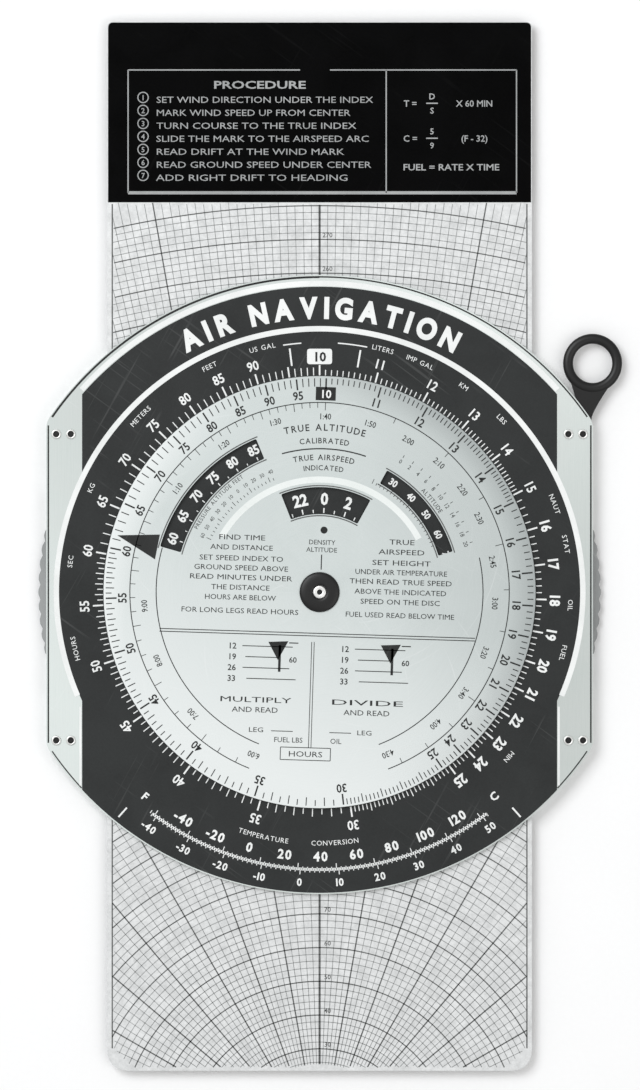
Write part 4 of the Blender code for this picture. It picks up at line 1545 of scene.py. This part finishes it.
@dataclass
class ComputerDisc:
    """The turning disc of the slide rule, with its windows and its print.

    A window is its inner and outer radius and the clockwise angles it lies between. Between
    the angles of the gap, the thin circles and the hours are left out. The tilt is how far the
    print's zero is turned clockwise.
    """

    windows: tuple[tuple[float, float, float, float], ...] = (
        (34.6, 39.8, -74.0, -22.5), (29.8, 33.4, 29.0, 73.0), (18.7, 25.2, -21.5, 29.0))
    minutes: Decade = Decade(51.3, -2.6, -2.0, -1.4, 0.22)
    minute_numbers: float = 47.4
    hours_line: float = 45.5
    hour_numbers: float = 42.2
    inner_line: float = 39.2
    gap: tuple[float, float] = (157.0, 200.0)
    hole: float = 2.65
    window_corner: float = 0.4
    tilt: float = 1.8
    eased: float = 0.12
    name: str = "disc"

    def window(self, inner: float, outer: float, start: float, end: float) -> Loop:
        """Draws a window's outline, a piece of a ring with eased corners.

        Args:
            inner: The window's inner radius.
            outer: Its outer radius.
            start: The clockwise angle it starts at.
            end: The clockwise angle it ends at.

        Returns:
            The outline, from the pivot.
        """
        near = sweep(inner, start, end, 24)
        far = sweep(outer, end, start, 24)
        corners = (0, len(near) - 1, len(near), len(near) + len(far) - 1)
        return rounded(near + far, dict.fromkeys(corners, self.window_corner), 4)

    def build(self) -> None:
        """Builds the disc and lays its prints."""
        radius = reach("computer_disc")[1][0]
        loops = [circle(radius, 288), circle(self.hole, 48)]
        loops += [self.window(*window) for window in self.windows]
        low, high = layer("computer_disc")
        disc = flat_piece("dial_disc", loops, low, high, self.eased)
        dress(disc, DISC_FACE, self.name, ("computer_disc",))
        self.face = high
        self.print_scales()
        self.print_windows()
        self.print_middle()

    def ink(self, name: str, coat: int = 0) -> Print:
        """Starts a print that turns with the disc's own zero."""
        return Print(name, self.face, coat=coat, tilt=self.tilt)

    def print_scales(self) -> None:
        """Prints the minutes scale, its numbers, the hours scale and the speed index."""
        scale = self.ink("minutes_scale")
        self.minutes.ticks(scale)
        for value in self.minutes.values():
            scale.number(str(value), 2.1, self.minute_numbers, log_angle(value), 0.02)
        scale.patch([[(-2.4, 46.0), (2.4, 46.0), (2.4, 49.2), (-2.4, 49.2)]])
        before, after = self.gap
        for radius, start, end in ((self.hours_line, after - 360.0, before),
                                   (self.inner_line, 76.0, before), (self.inner_line, after, 284.0)):
            scale.band(radius, 0.22, start, end)
        scale.patch([[(-48.9, 12.1), (-38.7, 12.6), (-39.7, 6.6)]])
        scale.lay(INK_BLACK, self.name, Slot.BLACK)
        hours = self.ink("hours_scale")
        for count in range(60):
            angle = log_angle(10.0 + count * 1.5)
            if not before < angle < after:
                length = 1.3 if count % 4 else 1.9
                hours.ray(self.hours_line - 0.1, self.hours_line - length, angle, 0.15)
        stops = (70, 80, 90, 100, 110, 120, 130, 140, 150, 165, 180, 200, 220, 240, 270, 300,
                 360, 420, 480, 540)
        for minutes in stops:
            text = f"{minutes // 60}:{minutes % 60:02d}"
            angle = log_angle(minutes / 10.0 if minutes >= 100 else minutes)
            if not before < angle < after:
                hours.number(text, 1.5, self.hour_numbers, angle, 0.008, 0.85)
        hours.lay(INK_BLACK, self.name, Slot.BLACK)
        boxed = self.ink("minutes_ten", 1)
        boxed.words("10", 2.0, (0.0, 47.6), 0.0, 0.02)
        boxed.lay(INK_WHITE, self.name, Slot.WHITE)

    def print_windows(self) -> None:
        """Prints the names and small scales beside the windows."""
        ink = self.ink("window_names")
        ink.arc_words("PRESSURE ALTITUDE FEET", 1.05, 33.4, -50.0, 0.0, 0.2, 0.9)
        ink.arc_words("ALTITUDE", 1.15, 34.9, 49.0, 0.0, 0.2, 0.9)
        ink.arc_words("TRUE ALTITUDE", 1.7, 39.6, 0.0, 0.012, 0.26, 0.95)
        ink.arc_words("CALIBRATED", 1.4, 36.4, 0.0, 0.008, 0.2, 0.95)
        ink.band(34.4, 0.3, -17.0, 17.0)
        ink.arc_words("TRUE AIRSPEED", 1.4, 32.4, 0.0, 0.01, 0.22, 0.95)
        ink.arc_words("INDICATED", 1.3, 29.9, 0.0, 0.008, 0.2, 0.95)
        for count in range(22):
            for start in (-66.0, 24.0):
                ink.ray(28.9, 29.5 if count % 5 else 30.1, start + count * 2.0, 0.14)
        for count in range(11):
            ink.number(str(abs(60 - count * 10)), 1.0, 31.2, -66.0 + count * 4.2)
            ink.number(str(count * 2), 1.1, 36.9, 30.0 + count * 4.0)
            ink.ray(37.9, 38.6, 30.0 + count * 4.0, 0.14)
        ink.lay(INK_BLACK, self.name, Slot.BLACK)
        frames = self.ink("window_frames")
        for inner, outer, start, end in self.windows:
            first, last = start - self.tilt - 0.7, end - self.tilt + 0.7
            frames.band(inner - 0.35, 0.28, first, last)
            frames.band(outer + 0.35, 0.28, first, last)
        frames.lay(INK_GREY, self.name, Slot.BLACK)
        pale = self.ink("index_band")
        pale.band(27.0, 1.5, -62.0, 60.0)
        pale.lay(PALE_BAND, self.name, Slot.WHITE)

    def print_middle(self) -> None:
        """Prints the notes and the two worked examples about the centre."""
        ink = self.ink("centre_notes")
        ink.patch([circle(0.85, 24, (0.6, 14.9))])
        ink.words("DENSITY", 1.2, (0.2, 12.0))
        ink.words("ALTITUDE", 1.2, (0.2, 10.2))
        ink.bar((0.2, 9.0), (0.2, 5.4), 0.25)
        left = (("FIND TIME", 12.6, 11.0), ("AND DISTANCE", 10.2, 15.0),
                ("SET SPEED INDEX TO", 7.6, 20.0), ("GROUND SPEED ABOVE", 5.3, 22.5),
                ("READ MINUTES UNDER", 3.0, 24.5), ("THE DISTANCE", 0.6, 14.0),
                ("HOURS ARE BELOW", -1.8, 17.0), ("FOR LONG LEGS READ HOURS", -5.0, 28.0))
        right = (("TRUE", 12.6, 6.0), ("AIRSPEED", 10.2, 11.0), ("SET HEIGHT", 7.6, 14.0),
                 ("UNDER AIR TEMPERATURE", 5.3, 22.0), ("THEN READ TRUE SPEED", 3.0, 24.5),
                 ("ABOVE THE INDICATED", 0.6, 22.0), ("SPEED ON THE DISC", -1.8, 19.0),
                 ("FUEL USED READ BELOW TIME", -5.0, 26.0))
        for rows, middle in ((left, -19.0), (right, 19.4)):
            for text, height, width in rows:
                ink.fitted(text, 1.3, (middle, height), width)
        for lift in (0.0, 0.65):
            ink.bar((-38.1, -9.9 - lift), (37.6, -9.9 - lift), 0.2)
        for shift in (-0.3, 0.3):
            ink.bar((-1.2 + shift, -12.0), (-1.2 + shift, -37.5), 0.16)
        for corner in (-22.5, 4.5):
            self.example(ink, corner)
        for middle, words in ((-14.6, ("MULTIPLY", "AND READ")), (12.2, ("DIVIDE", "AND READ"))):
            ink.fitted(words[0], 1.35, (middle, -26.2), 17.0)
            ink.fitted(words[1], 1.35, (middle, -28.6), 11.0)
        for side in (-1.0, 1.0):
            ink.bar((side * 9.6 - 1.0, -33.6), (side * 4.4 - 1.0, -33.6), 0.18)
        ink.words("FUEL LBS", 1.3, (-6.4, -35.6))
        ink.words("OIL", 1.3, (5.0, -35.6))
        self.frame_box(ink, -8.2, -40.4, 3.8, -37.4)
        ink.fitted("HOURS", 1.4, (-2.2, -38.9), 8.0)
        for middle in (-14.2, 11.8):
            ink.fitted("LEG", 1.2, (middle, -33.4), 3.4)
        ink.lay(INK_BLACK, self.name, Slot.BLACK)

    @staticmethod
    def frame_box(ink: Print, left: float, low: float, right: float, high: float) -> None:
        """Draws a thin box.

        Args:
            ink: The print it is drawn in.
            left: Its left side.
            low: Its lower side.
            right: Its right side.
            high: Its upper side.
        """
        corners = [(left, low), (right, low), (right, high), (left, high)]
        for start, end in zip(corners, corners[1:] + corners[:1]):
            ink.bar(start, end, 0.18)

    @staticmethod
    def example(ink: Print, left: float) -> None:
        """Draws one worked example: four scale lines and an index triangle over them.

        Args:
            ink: The print it is drawn in.
            left: Where its left side is.
        """
        for row, (start, end) in enumerate(((4.4, 16.5), (5.2, 13.0), (4.6, 15.8), (5.6, 17.4))):
            y = -13.4 - row * 2.6
            ink.bar((left + start, y), (left + end, y), 0.2)
            ink.words(str(row * 7 + 12), 1.5, (left + 2.0, y), 0.0, 0.012)
        ink.patch([[(left + 10.6, -12.3), (left + 15.4, -12.0), (left + 13.0, -16.6)]])
        ink.bar((left + 13.4, -13.0), (left + 13.4, -19.4), 0.6)
        ink.bar((left + 15.6, -12.4), (left + 17.8, -12.4), 0.25)
        ink.words("60", 1.4, (left + 16.6, -16.4), 0.0, 0.012)


# ---------------------------------------------------------------- the wind slide


@dataclass
class WindSlide:
    """The long slide: a header with notes over a grid of speed arcs and drift lines.

    The notes' box is its left and right side, and how far below the head its upper and lower
    line are. The lines of the fan run every half degree: the fan's starts say how far from the
    grid's centre those of two degrees, one degree and half a degree begin.
    """

    header: float = 43.4
    foot_corner: float = 5.4
    head_corner: float = 1.5
    eased: float = 0.12
    print_inset: float = 0.2
    notes_box: tuple[float, float, float, float] = (-46.0, 47.3, 11.6, 41.1)
    notes_split: float = 16.0
    notes_row: float = 3.12
    number_column: float = -42.4
    arc_step: float = 1.62
    fan_degrees: int = 78
    fan_starts: tuple[float, float, float] = (14.0, 100.0, 175.0)
    fan_step: float = 0.8
    fan_steps: int = 330
    centre_below: float = 134.0
    rear_centre_below: float = 205.0
    name: str = "slide"

    def __post_init__(self) -> None:
        """Reads the slide's sizes from the frame."""
        lows, highs = reach("slide_card")
        self.half = highs[0]
        self.foot = lows[1]
        self.head = highs[1]
        self.heights = layer("slide_card")

    def build(self) -> None:
        """Builds the slide and lays its prints on both faces."""
        outline = rounded([(-self.half, self.head), (self.half, self.head),
                           (self.half, self.foot), (-self.half, self.foot)],
                          {0: self.head_corner, 1: self.head_corner,
                           2: self.foot_corner, 3: self.foot_corner}, 10)
        card = flat_piece("wind_slide", [outline], *self.heights, self.eased)
        dress(card, SLIDE_FACE, self.name, ("slide_card",))
        low, high = self.heights
        self.print_header("front", high, Side.FRONT)
        self.print_header("rear", low, Side.REAR)
        self.print_grid("front", high, Side.FRONT, self.centre_below)
        self.print_grid("rear", low, Side.REAR, self.rear_centre_below)

    def print_header(self, label: str, face: float, side: Side) -> None:
        """Prints the black header with its box of notes.

        Args:
            label: What the face is called.
            face: The height of the face.
            side: Which side it is seen from.
        """
        top = self.head - self.print_inset
        base = self.head - self.header
        black = Print(f"header_{label}", face, side)
        edge = self.half - self.print_inset
        black.patch([rounded([(-edge, top), (edge, top), (edge, base), (-edge, base)],
                             {0: 1.3, 1: 1.3})])
        black.lay(HEADER_BLACK, self.name, Slot.BLACK)
        pale = Print(f"header_notes_{label}", face, side, 1)
        left, right = self.notes_box[:2]
        upper, lower = (self.head - below for below in self.notes_box[2:])
        for start, end in ((left, -4.7), (2.5, right)):
            pale.bar((start, upper), (end, upper), 0.3)
        for x in (left, right, self.notes_split):
            pale.bar((x, upper), (x, lower), 0.3)
        pale.bar((left, lower), (right, lower), 0.75)
        pale.fitted("PROCEDURE", 1.9, (-14.4, upper - 3.5), 22.0, 0.0, 0.02)
        lines = (("SET WIND DIRECTION UNDER THE INDEX", 52.0), ("MARK WIND SPEED UP FROM CENTER", 46.5),
                 ("TURN COURSE TO THE TRUE INDEX", 48.0), ("SLIDE THE MARK TO THE AIRSPEED ARC", 51.0),
                 ("READ DRIFT AT THE WIND MARK", 45.0), ("READ GROUND SPEED UNDER CENTER", 51.5),
                 ("ADD RIGHT DRIFT TO HEADING", 46.0))
        for row, (text, width) in enumerate(lines):
            y = upper - 7.1 - row * self.notes_row
            pale.fitted(text, 1.6, (self.number_column + 3.2 + width / 2, y), width)
            number = (self.number_column, y + 0.5)
            pale.band(1.25, 0.25, 0.0, 359.0, number)
            pale.words(str(row + 1), 1.3, number, 0.0, 0.012)
        self.formulas(pale, upper)
        pale.lay(INK_PALE, self.name, Slot.WHITE)

    @staticmethod
    def formulas(pale: Print, upper: float) -> None:
        """Prints the three conversion formulas at the right of the header.

        Args:
            pale: The print they are drawn in.
            upper: The height of the notes' upper line.
        """
        for down, start, over, under, end in ((8.0, "T =", "D", "S", "X 60 MIN"),
                                              (16.4, "C =", "5", "9", "(F - 32)")):
            y = upper - down
            pale.words(start, 1.6, (21.8, y), 0.0, 0.012)
            pale.words(over, 1.5, (27.0, y + 1.7), 0.0, 0.012)
            pale.bar((25.6, y), (28.4, y), 0.28)
            pale.words(under, 1.5, (27.0, y - 1.7), 0.0, 0.012)
            pale.words(end, 1.6, (37.2, y), 0.0, 0.012)
        pale.fitted("FUEL = RATE X TIME", 1.6, (31.6, upper - 23.3), 23.0, 0.0, 0.012)

    def on_grid(self, x: float, y: float) -> bool:
        """Says whether a point lies in the gridded part of the slide.

        Args:
            x: How far right of the pivot.
            y: How far above it.

        Returns:
            True where grid lines are printed.
        """
        inset = self.half - 1.2
        if abs(x) > inset or not self.foot + 0.8 < y < self.head - self.header:
            return False
        corner = self.half - self.foot_corner
        into = abs(x) - corner, (self.foot + self.foot_corner) - y
        return not (into[0] > 0 and into[1] > 0 and sum(into) > self.foot_corner - 1.4)

    def clipped(self, points: Loop) -> tuple[int, int] | None:
        """Finds the first unbroken run of points that lies on the grid.

        Args:
            points: Points along a line or arc.

        Returns:
            The run's first and last index, if there is one.
        """
        inside = [self.on_grid(*point) for point in points]
        if True not in inside:
            return None
        first = inside.index(True)
        last = first
        while last + 1 < len(inside) and inside[last + 1]:
            last += 1
        return (first, last) if last > first else None

    def print_grid(self, label: str, face: float, side: Side, below: float) -> None:
        """Prints the speed arcs, the drift lines and the speeds along the middle.

        Args:
            label: What the face is called.
            face: The height of the face.
            side: Which side it is seen from.
            below: How far under the pivot the grid's centre is.
        """
        centre = (0.0, -below)
        bold = Print(f"grid_bold_{label}", face, side)
        fine = Print(f"grid_fine_{label}", face, side)
        nearest = below + self.foot
        first = int(max(nearest, 8.0) / self.arc_step) + 1
        last = int((below + self.head - self.header) / self.arc_step)
        for count in range(first, last + 1):
            radius = count * self.arc_step
            strong = count % 5 == 0
            self.grid_arc(bold if strong else fine, radius, centre, 0.26 if strong else 0.15)
            if strong:
                x, y = clock(radius, 0.0, centre)
                if self.on_grid(x, y - 1.2) and self.on_grid(x, y + 2.0):
                    bold.words(str(count * 2), 1.2, (x + 1.9, y + 1.1), 0.0, 0.01)
        wide_start, degree_start, half_start = self.fan_starts
        for half in range(-2 * self.fan_degrees, 2 * self.fan_degrees + 1):
            strong = half % 20 == 0
            start = (max(nearest, wide_start) if half % 4 == 0
                     else degree_start if half % 2 == 0 else half_start)
            spots = [clock(start + step * self.fan_step, half / 2, centre)
                     for step in range(self.fan_steps)]
            run = self.clipped(spots)
            if run:
                width = 0.5 if half == 0 else 0.3 if strong else 0.14
                (bold if strong else fine).bar(spots[run[0]], spots[run[1]], width)
        for x in (-self.half + 1.2, self.half - 1.2):
            bold.bar((x, self.foot + self.foot_corner), (x, self.head - self.header - 0.4), 0.3)
        bold.lay(INK_GREY, self.name, Slot.BLACK)
        fine.lay(INK_FAINT, self.name, Slot.BLACK)

    def grid_arc(self, ink: Print, radius: float, centre: Point, width: float) -> None:
        """Draws one speed arc, on both sides of the middle, as far as the grid goes.

        Args:
            ink: The print it is drawn in.
            radius: The arc's radius.
            centre: The grid's centre.
            width: How wide the line is.
        """
        steps = 400
        reach_angle = 0.0
        for step in range(steps + 1):
            angle = step * 90.0 / steps
            if not self.on_grid(*clock(radius, angle, centre)):
                break
            reach_angle = angle
        if reach_angle > 0.5:
            ink.band(radius, width, -reach_angle, reach_angle, centre)


# ---------------------------------------------------------------- the wind side's compass ring


@dataclass
class CompassRing:
    """The finger-gripped compass ring with its clear plotting disc, rivets and eyelet.

    The clear disc lies in a seat that is sunk into the ring down to the seat's wall.
    """

    notches: int = 120
    notch_depth: float = 0.45
    inner: float = 50.5
    seat: float = 54.3
    seat_wall: float = 0.4
    clear_radius: float = 54.0
    rivet_hole: float = 0.75
    eyelet_hole: float = 1.45
    rose_line: float = 61.0
    cross_half: float = 50.0
    eased: float = 0.1
    name: str = "azimuth"

    def __post_init__(self) -> None:
        """Reads the ring's size and the rivets' places from the frame."""
        self.radius = reach("azimuth_ring")[1][0]
        self.heights = layer("azimuth_ring")
        self.places = {index: centre_of(f"band_rivet_{index}") for index in range(1, 7)}

    def knurled(self) -> Loop:
        """Draws the gripped rim: rounded teeth with a notch between each two.

        Returns:
            The outline, from the pivot.
        """
        loop = []
        steps = self.notches * 6
        for step in range(steps):
            wave = 0.5 + 0.5 * math.cos(2 * math.pi * step / 6)
            loop.append(clock(self.radius - self.notch_depth * (1.0 - wave) ** 2,
                              90.0 + 360.0 * step / steps))
        return loop

    def build(self) -> None:
        """Builds the ring, the clear disc, their fasteners and their prints."""
        holes = [circle(self.rivet_hole, 20, place) for place in self.places.values()]
        low, high = self.heights
        ring = flat_piece("compass_ring", [self.knurled(), circle(self.inner, 180)] + holes,
                          low, high, 0.0)
        cutter = flat_piece("seat_cutter", [circle(self.seat, 180)], low + self.seat_wall,
                            high + 1.0, 0.0)
        select_only(ring)
        seat = ring.modifiers.new("disc_seat", "BOOLEAN")
        seat.operation = "DIFFERENCE"
        seat.solver = "MANIFOLD"
        seat.object = cutter
        bpy.ops.object.modifier_apply(modifier=seat.name)
        bpy.data.objects.remove(cutter)
        soften(ring, self.eased)
        dress(ring, RING_SHEET, self.name, ("azimuth_ring",))
        clear_low, clear_high = layer("plotting_disc")
        clear = flat_piece("clear_disc", [circle(self.clear_radius, 180),
                                          circle(self.eyelet_hole, 40)] + holes,
                           clear_low, clear_high, 0.06)
        dress(clear, CLEAR, self.name, ("plotting_disc",))
        for index, place in self.places.items():
            self.band_rivet(index, place)
        self.eyelet()
        self.print_rose(low)
        self.print_cross(clear_low)

    def band_rivet(self, index: int, place: Point) -> None:
        """Turns one small domed rivet.

        Args:
            index: The rivet's number.
            place: Where it stands.
        """
        low, high = layer(f"band_rivet_{index}")
        profile = [(0.0, high), (0.5, high), (0.6, high - 0.1), (0.6, low + 0.25),
                   (1.05, low + 0.25), (1.03, low + 0.15), (0.85, low + 0.05),
                   (0.5, low + 0.005), (0.0, low)]
        rivet = turned_piece(f"band_rivet_head_{index}", profile, place, 28, closed=False)
        dress(rivet, BRIGHT, self.name, (f"band_rivet_{index}",))

    def eyelet(self) -> None:
        """Turns the small eyelet at the middle of the clear disc."""
        low, high = layer("plotting_eyelet")
        profile = [(0.5, high), (1.3, high), (1.3, low + 0.25), (2.2, low + 0.25),
                   (2.18, low + 0.14), (2.0, low + 0.04), (1.5, low), (0.8, low + 0.01),
                   (0.58, low + 0.08), (0.5, low + 0.2)]
        eyelet = turned_piece("wind_eyelet", profile, (0.0, 0.0), 64)
        dress(eyelet, OXIDE, self.name, ("plotting_eyelet",))

    def print_rose(self, face: float) -> None:
        """Prints the compass rose on the ring's lower face.

        Args:
            face: The height of that face.
        """
        rose = Print("compass_rose", face, Side.REAR)
        for degree in range(360):
            length = 2.8 if degree % 10 == 0 else 2.0 if degree % 5 == 0 else 1.3
            width = 0.3 if degree % 10 == 0 else 0.16
            rose.ray(self.rose_line - length, self.rose_line, float(degree), width)
        letters = {0: "N", 90: "E", 180: "S", 270: "W"}
        for degree in range(0, 360, 10):
            if degree in letters:
                rose.number(letters[degree], 3.4, 56.2, degree, 0.04)
            else:
                rose.number(str(degree), 2.3, 56.6, degree, 0.02)
        rose.band(50.9, 0.2)
        rose.lay(INK_BLACK, self.name, Slot.BLACK)

    def print_cross(self, face: float) -> None:
        """Prints the cross lines on the clear disc's lower face.

        Args:
            face: The height of that face.
        """
        cross = Print("cross_lines", face, Side.REAR)
        for quarter in (0.0, 90.0, 180.0, 270.0):
            cross.ray(2.5, self.cross_half, quarter, 0.22)
            for step in range(1, 10):
                x, y = clock(step * 5.0, quarter)
                across = clock(0.7, quarter + 90.0)
                cross.bar((x - across[0], y - across[1]), (x + across[0], y + across[1]), 0.18)
        cross.lay(INK_BLACK, self.name, Slot.BLACK)


# ---------------------------------------------------------------- the studio


@dataclass
class Studio:
    """The pale table, the soft lights and the camera straight above the object.

    The frame's height is what the view takes in at the object, and the aim is from the pivot,
    both in millimetres. The table's width is in metres.
    """

    lens: float = 200.0
    sensor: float = 36.0
    frame_height: float = 261.6
    aim: Point = (0.1, 11.3)
    table: float = 6.0
    sky: float = 0.62

    def build(self) -> None:
        """Sets up the table, the lights and the camera."""
        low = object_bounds()[0].z
        bpy.ops.object.select_all(action="DESELECT")
        bpy.ops.mesh.primitive_grid_add(x_subdivisions=8, y_subdivisions=8, size=self.table,
                                        location=(0.0, 0.0, low))
        top = bpy.context.object
        top.name = "table_top"
        top.data.materials.append(TABLE_TOP.material())
        top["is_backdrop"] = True
        world = bpy.data.worlds.new("soft_sky")
        world.use_nodes = True
        world.node_tree.nodes["Background"].inputs[0].default_value = (1.0, 1.0, 1.0, 1.0)
        world.node_tree.nodes["Background"].inputs[1].default_value = self.sky
        bpy.context.scene.world = world
        self.light("key", (-0.55, 0.5, 1.1), 0.7, 9.0, (0.97, 0.985, 1.0))
        self.light("fill", (0.7, -0.35, 1.2), 0.9, 3.0, (1.0, 0.99, 0.97))
        view = bpy.context.scene.view_settings
        view.view_transform = "Standard"
        view.look = "None"
        self.camera()

    @staticmethod
    def light(name: str, place: tuple[float, float, float], size: float, power: float,
              colour: Colour) -> None:
        """Hangs one square soft light, aimed at the object.

        Args:
            name: The light's name.
            place: Where it hangs, in metres.
            size: How wide it is.
            power: Its power in watts.
            colour: Its colour.
        """
        lamp = bpy.data.lights.new(name, "AREA")
        lamp.size = size
        lamp.energy = power
        lamp.color = colour
        hung = bpy.data.objects.new(name, lamp)
        hung.location = place
        hung.rotation_euler = Vector(place).to_track_quat("Z", "Y").to_euler()
        bpy.context.scene.collection.objects.link(hung)

    def camera(self) -> None:
        """Sets the camera straight above the object, far off with a long lens."""
        lens = bpy.data.cameras.new("camera")
        lens.lens = self.lens
        lens.sensor_width = self.sensor
        distance = self.frame_height * MM * self.lens / self.sensor
        lens.clip_start = 0.1
        lens.clip_end = 10.0
        held = bpy.data.objects.new("camera", lens)
        held.location = (PIVOT.x + self.aim[0] * MM, PIVOT.y + self.aim[1] * MM,
                         distance + layer("front_plate")[1] * MM)
        bpy.context.scene.collection.objects.link(held)
        bpy.context.scene.camera = held


def corners(box: tuple[Vector, Vector]) -> list[list[float]]:
    """Returns a box as plain lists of numbers."""
    return [list(box[0]), list(box[1])]


def main() -> None:
    """Builds each sub-assembly in order, then the studio."""
    logging.basicConfig(level=logging.INFO, format="%(message)s")
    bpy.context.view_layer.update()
    for part in (Body(), Hub(), HangRing(), ComputerDisc(), WindSlide(), CompassRing()):
        part.build()
    Studio().build()


if __name__ == "__main__":
    main()
